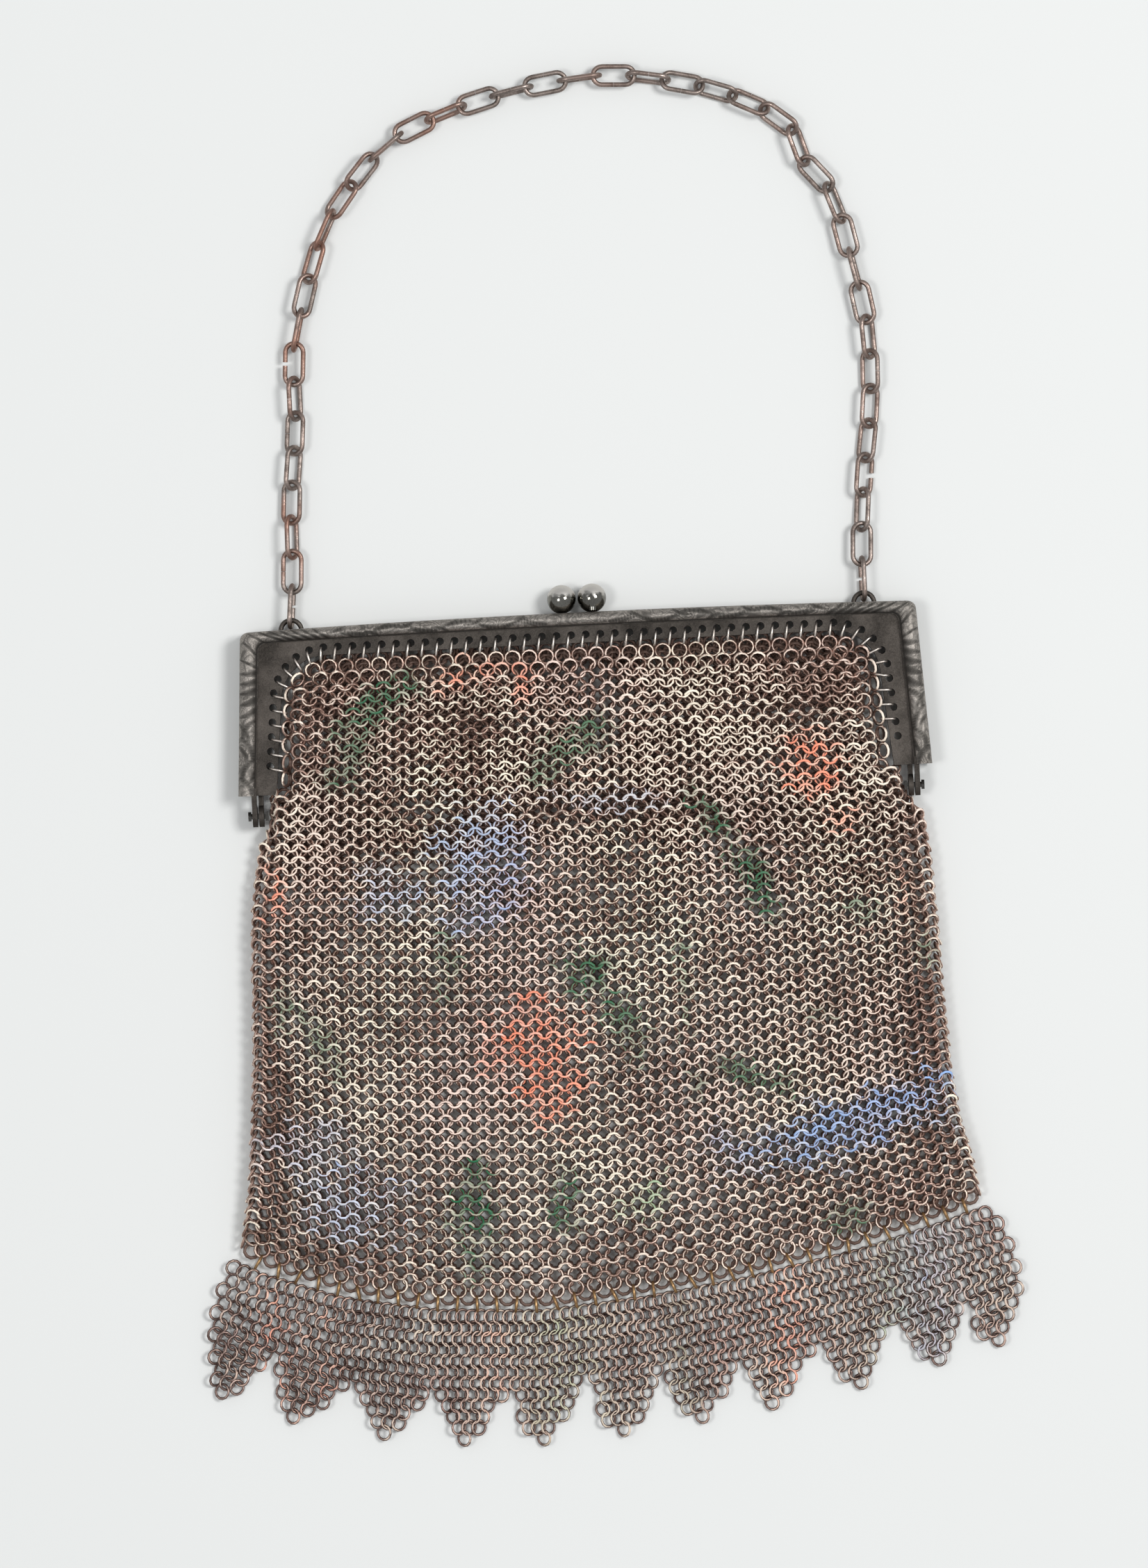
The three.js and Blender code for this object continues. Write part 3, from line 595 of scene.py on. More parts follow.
def clasp_ball(name, node, side):
    x = side * (BALL + BALL_GAP) / 2
    bm = bmesh.new()
    place = Matrix.Translation((x, BALL_Y, MEETING_PLANE))
    bmesh.ops.create_uvsphere(bm, u_segments=40, v_segments=20, radius=BALL / 2, matrix=place)
    foot = Vector((x, POST_FOOT, MEETING_PLANE + side * POST_STAND))
    bend = foot + Vector((0, POST / 2, 0))
    entry = Vector((x, BALL_Y, MEETING_PLANE + side * POST_ENTRY))
    stem = bmesh.new()
    place = Matrix.Translation(foot) @ STOOD_UP
    bmesh.ops.create_circle(stem, cap_ends=True, segments=14, radius=POST / 2, matrix=place)
    tip = stem.faces[:]
    for step in (bend - foot, entry - bend):
        tip = push(stem, tip, step)
    join(bm, faced_out(stem))
    ball = finish_mesh(bm, name)
    ball.data.materials.append(ball_steel)
    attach(ball, "root")
    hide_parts(node)


clasp_ball("turned_ball_back", "clasp_ball_back", -1)
clasp_ball("turned_ball_front", "clasp_ball_front", 1)

# Carry chain
# Long links of round wire, bent round and butted in the middle of one side, with copper plating
# that has worn to brown and grey. Each is made where its solid lies.
LINK_WIRE = 1.0
LINK_BEND = 1.85
LINK_SLACK = 0.03
SEAM = 0.05
# How wide some links' seams gape, and to which side of the photo three of them lie.
WIDE_SEAMS = {1: 0.5, 8: 0.7, 38: 1.0, 41: 0.6}
SEAM_SIDES = {8: -1, 38: 1, 41: -1}
random = np.random.default_rng(7)


def link_shape(straight, seam):
    """A link in its own plane: it runs from one side of its seam round to the other."""
    bm = bmesh.new()
    place = Matrix.Translation((LINK_BEND, seam / 2, 0)) @ STOOD_UP
    bmesh.ops.create_circle(bm, cap_ends=True, segments=10, radius=LINK_WIRE / 2, matrix=place)
    tip = bm.faces[:]
    for leg, centre in ((straight - seam / 2, straight), (-2 * straight, -straight)):
        tip = push(bm, tip, (0, leg, 0))
        made = bmesh.ops.spin(
            bm, geom=tip, cent=(0, centre, 0), axis=(0, 0, 1), angle=math.pi, steps=12
        )
        tip = [f for f in made["geom_last"] if isinstance(f, bmesh.types.BMFace)]
    push(bm, tip, (0, straight - seam / 2, 0))
    return faced_out(bm)


chain_metal, chain_tree, chain_shader, chain_worn = old_metal(
    "chain_metal", srgb(168, 154, 146), srgb(100, 90, 84), 400.0, 2600.0, 0.7, 0.28, 0.3
)
place = add_node(chain_tree, "ShaderNodeSeparateXYZ", {0: object_place(chain_tree)}).outputs
left = mapped(chain_tree, place["X"], -35 * MM, 10 * MM, 1.0, 0.3)
copper = mapped(chain_tree, noise(chain_tree, 60.0, 2.0), 0.44, 0.62, 0.0, 0.75)
copper = times(chain_tree, copper, left)
colour = mixed(chain_tree, copper, chain_worn["Color"], srgb(152, 112, 96))
chain_tree.links.new(colour, chain_shader.inputs["Base Color"])
for number in range(1, 42):
    node = f"chain_link_{number:02d}"
    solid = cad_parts[node].data
    points = np.empty(3 * len(solid.vertices))
    solid.vertices.foreach_get("co", points)
    points = np.unique(points.reshape(-1, 3).round(7), axis=0) / MM - ORIGIN
    middle = points.mean(axis=0)
    _, axes = np.linalg.eigh(np.cov((points - middle).T))
    long, wide = Vector(axes[:, 2]), Vector(axes[:, 1])
    reach = np.ptp((points - middle) @ axes[:, 2]) / 2
    if random.random() < 0.5:
        wide = -wide
    if SEAM_SIDES.get(number, 0) * wide.x < 0:
        wide = -wide
    seam = WIDE_SEAMS.get(number, SEAM)
    link = link_shape(reach - LINK_BEND - LINK_WIRE / 2 + LINK_SLACK, seam)
    turn = Matrix((wide, long, wide.cross(long))).transposed().to_4x4()
    link.transform(Matrix.Translation(Vector(middle)) @ turn)
    made = finish_mesh(link, f"wire_link_{number:02d}")
    made.data.materials.append(chain_metal)
    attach(made, "root")
    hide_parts(node)

# Mesh bag
# A tube of steel rings, each linked through two in the row above and two in the row below, whose
# rows lean one way and the other. The front is enamelled cream with soft flowers and leaves, worn
# down to brown metal on its edges and inner sides. Shade is painted too: darker patches along folds
# and the bag's sides, bare deep arcs of the rings, and dark brown on the wires' inner sides, while
# the enamel kept to the tops of the wires is partly a painted highlight.
RING = 1.5
WIRE = 0.62
BACK_WIRE = 0.72
RING_STEPS = 12
BACK_STEPS = 10
RING_SIDES = 4
OUT_LEAN = math.radians(33)
IN_LEAN = math.radians(22)
COLUMNS = 76
ROWS = 96
ROW_SPREAD = 0.07
TOP_PITCH = 3.42
FANNED = 0.38
LAYER = 1.05
BACK_LAYER = 1.3
BAG_TOP = -5.6
BAG_DROP = 133.0
FIRST_ROW = 0.0335
LAST_ROW = 0.989
SLIT = 0.225
SETTLED = 0.34
CLOSING = 0.93
HEM_CREST = 3.4
WALL = 2.2
HOLLOW = 1.0
PARTING = 0.8
HEM_CURVE = 2.0
LEG_CLEAR = 3.3
BEHIND = 0.5
FOLD_RISE = 0.06
FRONT_FROM = -0.2
HEM_SLACK = 0.55
LEG_TUMBLE = 1.6
BUNCHED_TUMBLE = 0.3
LOOSE_LIMIT = 0.14
JITTER = 0.05
MIDWAY = 0.5

# The outline: how far down a row lies as a share of the drop, and its left and right edges.
OUTLINE = np.array([
    # down, left, right
    (0.000, 64.90, 64.90),
    (0.256, 64.90, 64.90),
    (0.300, 67.62, 68.86),
    (0.380, 69.28, 70.24),
    (0.500, 70.31, 71.00),
    (0.620, 70.79, 71.41),
    (0.740, 71.62, 72.17),
    (0.840, 72.66, 73.55),
    (0.920, 73.69, 75.49),
    (1.000, 75.42, 77.14),
])
# The hem: how far along it a place is, and how far above its lowest point, as a share of the drop.
HEM = np.array([
    # along, above
    (0.00, 0.106),
    (0.05, 0.075),
    (0.15, 0.034),
    (0.27, 0.009),
    (0.40, 0.000),
    (0.54, 0.013),
    (0.68, 0.037),
    (0.82, 0.070),
    (0.93, 0.106),
    (1.00, 0.132),
])
# Soft folds of the front: place, half width, height and how far down they reach.
FOLDS = [
    # at, half, height, reach
    (-0.80, 0.09, 0.50, 0.70),
    (-0.52, 0.10, 0.55, 0.45),
    (-0.26, 0.10, -0.55, 0.38),
    (0.06, 0.12, 0.45, 0.55),
    (0.40, 0.10, -0.45, 0.40),
    (0.68, 0.10, 0.55, 0.60),
]


def ease(value, low, high):
    share = np.clip((value - low) / (high - low), 0, 1)
    return share * share * (3 - 2 * share)


def hem_lift(along):
    return BAG_DROP * np.interp(along, HEM[:, 0], HEM[:, 1])


def layer_heights(down):
    """Heights of the middle of the front and back layers."""
    lifted = 1 - ease(down, SLIT, SETTLED)
    rise = lifted * (MEETING_PLANE - PARTING / 2 - WALL)
    crest = rise + 2 * WALL + HOLLOW + (PARTING - HOLLOW) * lifted
    crest = crest + (HEM_CREST - crest) * ease(down, CLOSING, 1)
    return crest - LAYER, rise + BACK_LAYER


def fold_height(x, down):
    height = 0.0
    for at, half, rise, reach in FOLDS:
        fade = ease(down, 0, FOLD_RISE) * (1 - ease(down, reach / 2, reach))
        height = height + rise * np.exp(-(((x / HALF_BAR - at) / half) ** 2)) * fade
    return height


def tube(down):
    """The left and right edges, the heights of the front and back layers, the radius of the bend
    at a side, and half the width that lies flat between the bends."""
    left = np.interp(down, OUTLINE[:, 0], OUTLINE[:, 1])
    right = np.interp(down, OUTLINE[:, 0], OUTLINE[:, 2])
    front, back = layer_heights(down)
    bend = (front - back) / 2
    return left, right, front, back, bend, (left + right) / 2 - LAYER - bend


def around(s, down):
    """A place on the bag: s runs round its tube from the middle of the front, towards +X."""
    left, right, front, back, bend, flat = tube(down)
    arc = math.pi * bend
    side = np.sign(s)
    far = np.abs(s)
    turn = np.clip((far - flat) / bend, 0, math.pi)
    x = np.where(far < flat, far, flat + bend * np.sin(turn))
    x = np.where(far > flat + arc, 2 * flat + arc - far, x) * side
    z = (front + back) / 2 + bend * np.cos(turn)
    x = x + (right - left) / 2
    z = z + fold_height(x, down) * (turn == 0)
    along = np.clip((x + left) / (left + right), 0, 1)
    y = BAG_TOP - BAG_DROP * down + hem_lift(along) * down ** HEM_CURVE
    return np.stack([x, y, z], axis=-1)


def girth(down):
    *_, bend, flat = tube(down)
    return 4 * flat + 2 * math.pi * bend


def unit(v):
    return v / np.linalg.norm(v, axis=-1, keepdims=True)


def squared(v, other):
    """The part of a direction that is square to another one."""
    return unit(v - other * np.sum(v * other, axis=-1, keepdims=True))


def axes_at(s, down):
    """Across, up and outward directions of the bag's surface."""
    across = unit(around(s + 0.2, down) - around(s - 0.2, down))
    up = squared(around(s, down - 0.004) - around(s, down + 0.004), across)
    return across, up, np.cross(across, up)


def flange_half(y):
    """Half the width between the legs' flanges at a height."""
    bend_y = FLANGE_TOP - FLANGE_CORNER
    rise = np.clip(y - bend_y, 0, FLANGE_CORNER)
    bent = FLANGE_END - LEG_FLARE - FLANGE_CORNER + np.sqrt(FLANGE_CORNER ** 2 - rise ** 2)
    plain = FLANGE_END - LEG_FLARE * (y + LEG_LENGTH) / (bend_y + LEG_LENGTH)
    return np.where(y > bend_y, bent, plain)


def bag_rings():
    """Where each ring of the tube lies: s, down, and how far its row leans. The columns fan out
    evenly from the frame down, and those of the back close up to make room for it."""
    found = []
    for row in range(-3, ROWS + 1):
        share = row / (ROWS - 1)
        share = share - ROW_SPREAD * share * (1 - share)
        down = FIRST_ROW + (LAST_ROW - FIRST_ROW) * share
        whole = girth(max(down, SLIT))
        pitch = whole / COLUMNS
        if down < FANNED:
            pitch = TOP_PITCH + (girth(FANNED) / COLUMNS - TOP_PITCH) * max(down, 0) / FANNED
        s = (np.arange(COLUMNS) - (COLUMNS - 1) / 2 + 0.5 * (row % 2)) * pitch
        beyond = np.maximum(np.abs(s) - whole / 4, 0)
        spare = COLUMNS / 2 * pitch - whole / 4
        s = np.sign(s) * (np.abs(s) - beyond + beyond * whole / 4 / spare)
        down = np.full(COLUMNS, down)
        place = around(s, down)
        keep = np.abs(place[:, 0]) < flange_half(place[:, 1]) - LEG_CLEAR
        keep |= place[:, 1] < -LEG_LENGTH
        in_back = place[:, 2] < np.mean(layer_heights(down), axis=0) - BEHIND
        keep &= (0 <= row < ROWS) | in_back
        s, down = s[keep], down[keep]
        lean = -IN_LEAN if row % 2 else OUT_LEAN
        found.append(np.stack([s, down, np.full(len(s), lean)], axis=-1))
    return np.concatenate(found)


def ring_template(radius, wire, steps, sides):
    """The points of a ring that lies flat, the ways that they face, and its faces."""
    bm = bmesh.new()
    place = Matrix.Translation((radius, 0, 0)) @ STOOD_UP
    bmesh.ops.create_circle(bm, segments=sides, radius=wire / 2, matrix=place)
    bmesh.ops.spin(
        bm, geom=bm.edges[:], cent=(0, 0, 0), axis=(0, 0, 1), angle=2 * math.pi, steps=steps,
        use_merge=True,
    )
    faced_out(bm).normal_update()
    points = np.array([v.co for v in bm.verts])
    normals = np.array([v.normal for v in bm.verts])
    faces = np.array([[v.index for v in f.verts] for f in bm.faces])
    bm.free()
    return points, normals, faces


def repeat_rings(name, template, centres, axes, colours):
    """One mesh of many like rings. axes holds each ring's own three directions, and colours gives
    the colour and cover of the enamel, whose cover also carries painted highlight and shade, from
    the points, their directions and their rings."""
    points, normals, faces = template
    places = centres[:, None, :] + np.einsum("pk,rkc->rpc", points, axes)
    facing = np.einsum("pk,rkc->rpc", normals, axes)
    count = len(centres)
    mesh = bpy.data.meshes.new(name)
    mesh.vertices.add(count * len(points))
    mesh.vertices.foreach_set("co", ((places + ORIGIN) * MM).ravel())
    corners = (faces[None] + len(points) * np.arange(count)[:, None, None]).reshape(-1)
    mesh.loops.add(len(corners))
    mesh.loops.foreach_set("vertex_index", corners)
    mesh.polygons.add(count * len(faces))
    mesh.polygons.foreach_set("loop_start", np.arange(0, len(corners), faces.shape[1]))
    mesh.update(calc_edges=True)
    mesh.shade_smooth()
    # The colour attribute holds the enamel's colour, and a cover that also carries painted
    # highlight and shade.
    enamel_and_painted_light = mesh.color_attributes.new("enamel_and_painted_light", "FLOAT_COLOR", "POINT")
    enamel_and_painted_light.data.foreach_set("color", colours(places, facing).ravel())
    return placed(name, mesh)


def looseness(count, lean, swing):
    """Small random turns of rings: more or less lean, and a swing."""
    return np.stack([random.normal(0, lean, count), random.normal(0, swing, count)], axis=-1)


def leaning(across, up, out, angle, loose):
    """Ring axes for rings that lie in the surface, turned about the across direction, with a
    little looseness."""
    angle = angle + loose[:, 0]
    swing = loose[:, 1]
    flat = across * np.cos(swing)[:, None] + out * np.sin(swing)[:, None]
    lift = np.cross(np.cross(flat, up), flat)
    rise = np.cross(flat, lift)
    second = lift * np.cos(angle)[:, None] + rise * np.sin(angle)[:, None]
    return np.stack([flat, second, np.cross(flat, second)], axis=1)


CREAM = np.array(srgb(255, 247, 224)[:3])
PINKISH = np.array(srgb(246, 222, 208)[:3])
TINTS = {
    "coral": np.array(srgb(255, 156, 124)[:3]),
    "blue": np.array(srgb(122, 168, 228)[:3]),
    "green": np.array(srgb(10, 100, 62)[:3]),
    "pale": np.array(srgb(150, 190, 146)[:3]),
}
# Flowers and leaves: tint, place of the middle, half length, half width, turn in degrees
# anticlockwise, and strength.
PATCHES = [
    # tint, x, y, half length, half width, turn, strength
    ("coral", -22.5, -10.6, 8.5, 3.0, 1, 0.85),
    ("coral", -10.9, -9.8, 3.5, 2.2, 0, 0.80),
    ("coral", -12.4, -15.0, 2.2, 3.6, 0, 0.75),
    ("coral", 46.2, -32.3, 7.7, 6.1, -53, 1.00),
    ("coral", 52.6, -43.0, 3.5, 4.2, 0, 0.75),
    ("coral", -11.6, -84.0, 9.6, 7.7, 0, 1.00),
    ("coral", -9.8, -96.1, 8.0, 8.8, 0, 1.00),
    ("coral", -20.6, -88.4, 4.2, 6.4, 0, 0.60),
    ("coral", -64.7, -55.0, 2.9, 8.3, 0, 0.90),
    ("coral", 63.7, -58.0, 1.4, 7.2, 0, 0.50),
    ("blue", -21.8, -47.4, 11.2, 13.6, 0, 0.62),
    ("blue", -40.6, -54.5, 7.7, 6.7, 0, 0.50),
    ("blue", -24.9, -60.9, 9.6, 4.2, 0, 0.50),
    ("blue", -59.1, -105.0, 12.8, 5.8, 0, 0.42),
    ("blue", -51.7, -118.1, 12.0, 9.6, 0, 0.52),
    ("blue", 49.1, -106.2, 24.0, 6.7, 19, 0.80),
    ("blue", 68.5, -101.5, 4.8, 7.7, 0, 0.65),
    ("blue", 5.1, -37.5, 13.6, 2.6, 0, 0.40),
    ("blue", 24.9, -108.2, 4.0, 4.0, 0, 0.55),
    ("green", -39.5, -14.6, 9.0, 4.2, 22, 0.95),
    ("green", -46.3, -23.0, 9.0, 4.5, 57, 0.85),
    ("green", -50.5, -30.1, 5.5, 4.4, 0, 0.75),
    ("green", -1.5, -25.2, 9.9, 4.2, 22, 0.90),
    ("green", -9.1, -32.0, 4.2, 2.6, 0, 0.75),
    ("green", 24.9, -41.7, 7.2, 3.5, -53, 0.95),
    ("green", 33.1, -54.9, 11.2, 3.5, -63, 0.95),
    ("green", -29.9, -71.1, 2.9, 8.3, 0, 0.80),
    ("green", -1.5, -73.3, 7.2, 4.8, -43, 0.95),
    ("green", 6.0, -84.1, 8.0, 4.2, -63, 0.90),
    ("green", 18.2, -75.0, 1.4, 13.6, 0, 0.75),
    ("green", 30.4, -94.9, 9.6, 2.9, -11, 0.90),
    ("green", 19.1, -96.7, 2.9, 2.9, 0, 0.65),
    ("green", 55.1, -63.2, 4.2, 2.9, 0, 0.70),
    ("green", 68.4, -71.8, 3.5, 3.8, 0, 0.85),
    ("green", 45.3, -83.6, 4.0, 1.4, 0, 0.55),
    ("green", -63.3, -75.9, 2.6, 5.8, 0, 0.75),
    ("green", -56.2, -84.3, 8.0, 3.2, -63, 0.70),
    ("green", -26.7, -121.0, 5.1, 14.7, 0, 1.00),
    ("green", -8.5, -120.2, 3.5, 8.8, 0, 0.95),
    ("pale", 9.1, -119.5, 6.1, 4.2, 0, 0.80),
    ("green", 49.7, -125.4, 6.1, 4.8, 0, 0.90),
]
# Places where the enamel is mostly gone, which shows darker metal: partly worn enamel and partly
# painted shade along folds and the bag's sides. x, y, half width, half height and how much is gone.
BARE_AND_SHADED = [
    # x, y, half width, half height, gone
    (-22.4, -25.0, 4.8, 13.6, 0.50),
    (-66.3, -22.8, 3.5, 17.6, 0.45),
    (-67.4, -94.9, 4.0, 41.6, 0.65),
    (67.5, -93.4, 5.0, 41.6, 0.80),
    (-55.3, -124.0, 17.6, 12.0, 0.40),
    (3.4, -39.0, 17.6, 3.2, 0.40),
    (19.9, -129.6, 36.8, 4.8, 0.10),
    (-37.3, -51.5, 12.8, 9.6, 0.25),
    (-50.0, -18.0, 16.0, 18.0, 0.30),
    (46.0, -14.0, 18.0, 12.0, 0.30),
]


def soft_noise(x, y, size, seed):
    """Smooth uneven values between 0 and 1."""
    waves = np.random.default_rng(seed)
    total = 0.0
    for _ in range(10):
        angle, phase = waves.uniform(0, 2 * math.pi, 2)
        pace = waves.uniform(0.6, 1.8) * 2 * math.pi / size
        total = total + np.sin(pace * (x * math.cos(angle) + y * math.sin(angle)) + phase)
    return np.clip(0.5 + total / 9, 0, 1)


def enamel(x, y, kept):
    """Colour and cover of the enamel at places on the front, the cover cut where the enamel is worn
    and where shade is painted along folds and the bag's sides. kept is how much of a flower's or
    leaf's tint is left."""
    pink = soft_noise(x, y, 60, 3)[..., None]
    colour = CREAM + (PINKISH - CREAM) * pink
    cover = 0.58 + 0.38 * soft_noise(x, y, 40, 5)
    # Painted shade along folds and the bag's sides, as well as worn enamel: the cover is cut in
    # these places.
    for px, py, half_w, half_h, gone in BARE_AND_SHADED:
        near = np.exp(-(((x - px) / half_w) ** 2) - ((y - py) / half_h) ** 2)
        cover = cover * (1 - gone * near)
    ragged = 0.7 * (soft_noise(x, y, 7, 11) - 0.5)
    for tint, px, py, length, width, turn, strength in PATCHES:
        c, s = math.cos(math.radians(turn)), math.sin(math.radians(turn))
        a = ((x - px) * c + (y - py) * s) / length
        b = ((y - py) * c - (x - px) * s) / width
        inside = ease(1.15 - np.sqrt(a * a + b * b) + ragged, 0.0, 0.55) * strength * kept
        colour = colour + (TINTS[tint] - colour) * inside[..., None]
        cover = cover + (1.3 - cover) * inside * 0.9
    return colour, cover


def bag_enamel_and_light(outward, middles):
    """The enamel lies on the outer side of the wire, most where a ring stands out: kept to the tops
    of the wires it also paints a highlight there, and kept off the deep arcs it paints shade on
    them.
    Rings have turned and shifted since they were painted. Below zero the cover says how far inside
    it is, where the material paints shade."""
    count = len(middles)
    shift = random.normal(0, 1.1, (2, count, 1))
    kept = np.minimum(random.uniform(0.4, 1.3, (count, 1)), 1)
    fullness = random.uniform(0.85, 1.2, (count, 1))
    shade = random.uniform(0.84, 1.08, (count, 1, 1))
    rubbed_side = random.uniform(0, 2 * math.pi, (count, 1))

    def colours(places, facing):
        colour, cover = enamel(places[..., 0] + shift[0], places[..., 1] + shift[1], kept)
        out = outward[:, None, :]
        faces_out = np.sum(facing * out, axis=-1)
        away = places - middles[:, None, :]
        stands_out = np.sum(away * out, axis=-1) / LAYER
        side = np.cos(np.arctan2(away[..., 1], away[..., 0]) - rubbed_side)
        # Painted highlight and shade: the enamel's cover is kept to the wire's outer face and is
        # lowest on the deep arcs.
        enamel_shown_and_lit = ease(faces_out, 0.05, 0.8) * (0.4 + 0.6 * ease(stands_out, -0.6, 0.3))
        # Painted shade: the inner sides of the wires get a negative cover, which the material
        # darkens.
        inside = 0.8 * ease(-faces_out, -0.2, 0.6)
        mask = enamel_shown_and_lit * cover * fullness * (0.92 + 0.16 * side) - inside
        enamel_and_painted_light = np.concatenate([colour * shade, mask[..., None]], axis=-1)
        return enamel_and_painted_light.astype(np.float32)

    return colours


def painted_metal(name, metal, tarnish):
    """Old metal under worn enamel, whose colour and cover the mesh holds in a colour attribute.
    Where the cover is below zero, on the wires' inner and under sides, a dark brown is painted as
    shade.
    """
    material, tree, shader, worn = old_metal(name, metal, tarnish, 160.0, 1800.0, 0.7, 0.34, 0.15)
    enamel_and_painted_light = attribute(tree, "enamel_and_painted_light")
    scratched = mapped(tree, noise(tree, 700.0, 4.0, 0.65), 0.3, 0.7, -0.3, 0.3)
    cover = mapped(tree, worked_out(tree, "ADD", enamel_and_painted_light["Alpha"], scratched), 0.3, 0.6)
    # Painted shade: a dark brown on the wires' inner and under sides, where the cover is below
    # zero.
    inner_shade = mapped(tree, enamel_and_painted_light["Alpha"], -0.7, 0.0, 0.85, 0.0)
    bare_and_shaded = mixed(tree, inner_shade, worn["Color"], srgb(82, 61, 51))
    colour = mixed(tree, cover, bare_and_shaded, enamel_and_painted_light["Color"])
    tree.links.new(colour, shader.inputs["Base Color"])
    matt = worked_out(tree, "MAXIMUM", cover, inner_shade)
    metallic = mapped(tree, matt, 0.0, 1.0, 1.0, 0.0)
    tree.links.new(metallic, shader.inputs["Metallic"])
    return material


painted = painted_metal("enamelled_rings", srgb(204, 174, 160), srgb(118, 90, 78))
s, down, lean = bag_rings().T
centres = around(s, down)
across, up, out = axes_at(s, down)
front = out[:, 2] > FRONT_FROM
# The hem's rings lean less, and those near the frame are bunched and lie more unevenly, most of
# all beside its legs.
slack = 1 - HEM_SLACK * ease(down, 0.95, 1.0)
bunched = 1 - ease(down, 0.2, 0.6)
by_leg = ease(np.abs(centres[:, 0]), 48, 58) * (1 - ease(down, 0.2, 0.3))
tumble = 1 + LEG_TUMBLE * by_leg + BUNCHED_TUMBLE * bunched
loose = np.clip(looseness(len(s), 0.07, 0.06), -LOOSE_LIMIT, LOOSE_LIMIT)
loose = loose * np.where(front, tumble, 1)[:, None]
ring_axes = leaning(across, up, out, lean * slack, loose)
wander = np.stack([
    soft_noise(centres[:, 0], centres[:, 1], 24, 31) - 0.5,
    soft_noise(centres[:, 0] / 2, centres[:, 1], 14, 37) - 0.5,
    np.zeros(len(s)),
], axis=-1)
wander = wander * (0.2 + 0.7 * bunched)[:, None]
jitter = np.clip(random.normal(0, JITTER, centres.shape), -2 * JITTER, 2 * JITTER)
centres = centres + wander + jitter
fine = ring_template(RING, WIRE, RING_STEPS, RING_SIDES)
plain = ring_template(RING, BACK_WIRE, BACK_STEPS, RING_SIDES)
for name, template, keep in (
    ("mesh_front_upper", fine, front & (down < MIDWAY)),
    ("mesh_front_lower", fine, front & (down >= MIDWAY)),
    ("mesh_back_upper", plain, ~front & (down < MIDWAY)),
    ("mesh_back_lower", plain, ~front & (down >= MIDWAY)),
):
    made = repeat_rings(
        name, template, centres[keep], ring_axes[keep], bag_enamel_and_light(out[keep], centres[keep])
    )
    made.data.materials.append(painted)
    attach(made, "root")
    if name == "mesh_front_upper":
        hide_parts("mesh_bag")

# Hanging wire
# One bright steel wire on each half, coiled through the flange's holes and through a row of rings
# that lie nearly flat along the mesh's upper edge.
HANGER = 0.5
HANGER_DEPTH = 2.9
HANGER_RISE = 0.8
HANGER_SLANT = 0.2
HANGER_SHIFT = -0.15
HANGER_BACK = 0.72
HANGER_SIDES = 6
TURN_STEPS = 14
EDGE_INSIDE = -2.46
EDGE_SHORT = 0.3
LEG_INSIDE = -1.7
EDGE_LEAN = math.radians(12)
LEG_LEAN = math.radians(52)
FLANGE_MIDDLE = FLANGE_LIFT + SHEET / 2 + HALVES_GAP / 2


def hanger_path(way):
    """The coil of one half: way is 1 for the front one and -1 for the back one."""
    shares, step = hole_shares()
    path = []
    for share in shares[:-1]:
        for i in range(TURN_STEPS):
            part = i / TURN_STEPS
            slants = (0, -HANGER_SLANT, -HANGER_SLANT, 1)
            slide = np.interp(part, (0, 0.5, HANGER_BACK, 1), slants)
            spot, outward, _ = flange_line(HOLE_INSET, share + (slide + HANGER_SHIFT) * step)
            inset = HANGER_DEPTH * (1 - math.cos(2 * math.pi * part)) / 2
            flat = spot - outward * inset
            height = FLANGE_MIDDLE + HANGER_RISE * math.sin(2 * math.pi * part)
            path.append((*flat, MEETING_PLANE + way * height))
    return np.array(path)


def wire_along(path, diameter, sides):
    """A round wire on a path: a strip of squares, wrapped round the path and closed at its ends."""
    along = unit(np.gradient(path, axis=0))
    level = unit(np.cross(along, np.roll(along, 1, axis=0) + np.array([0.01, 0.02, 1.0])))
    other = np.cross(along, level)
    bm = bmesh.new()
    made = bmesh.ops.create_grid(bm, x_segments=len(path) - 1, y_segments=sides, size=1)
    for vert in made["verts"]:
        i = round((vert.co.x + 1) / 2 * (len(path) - 1))
        turn = (vert.co.y + 1) * math.pi
        side = level[i] * math.cos(turn) + other[i] * math.sin(turn)
        vert.co = path[i] + side * diameter / 2
    return closed(bm)


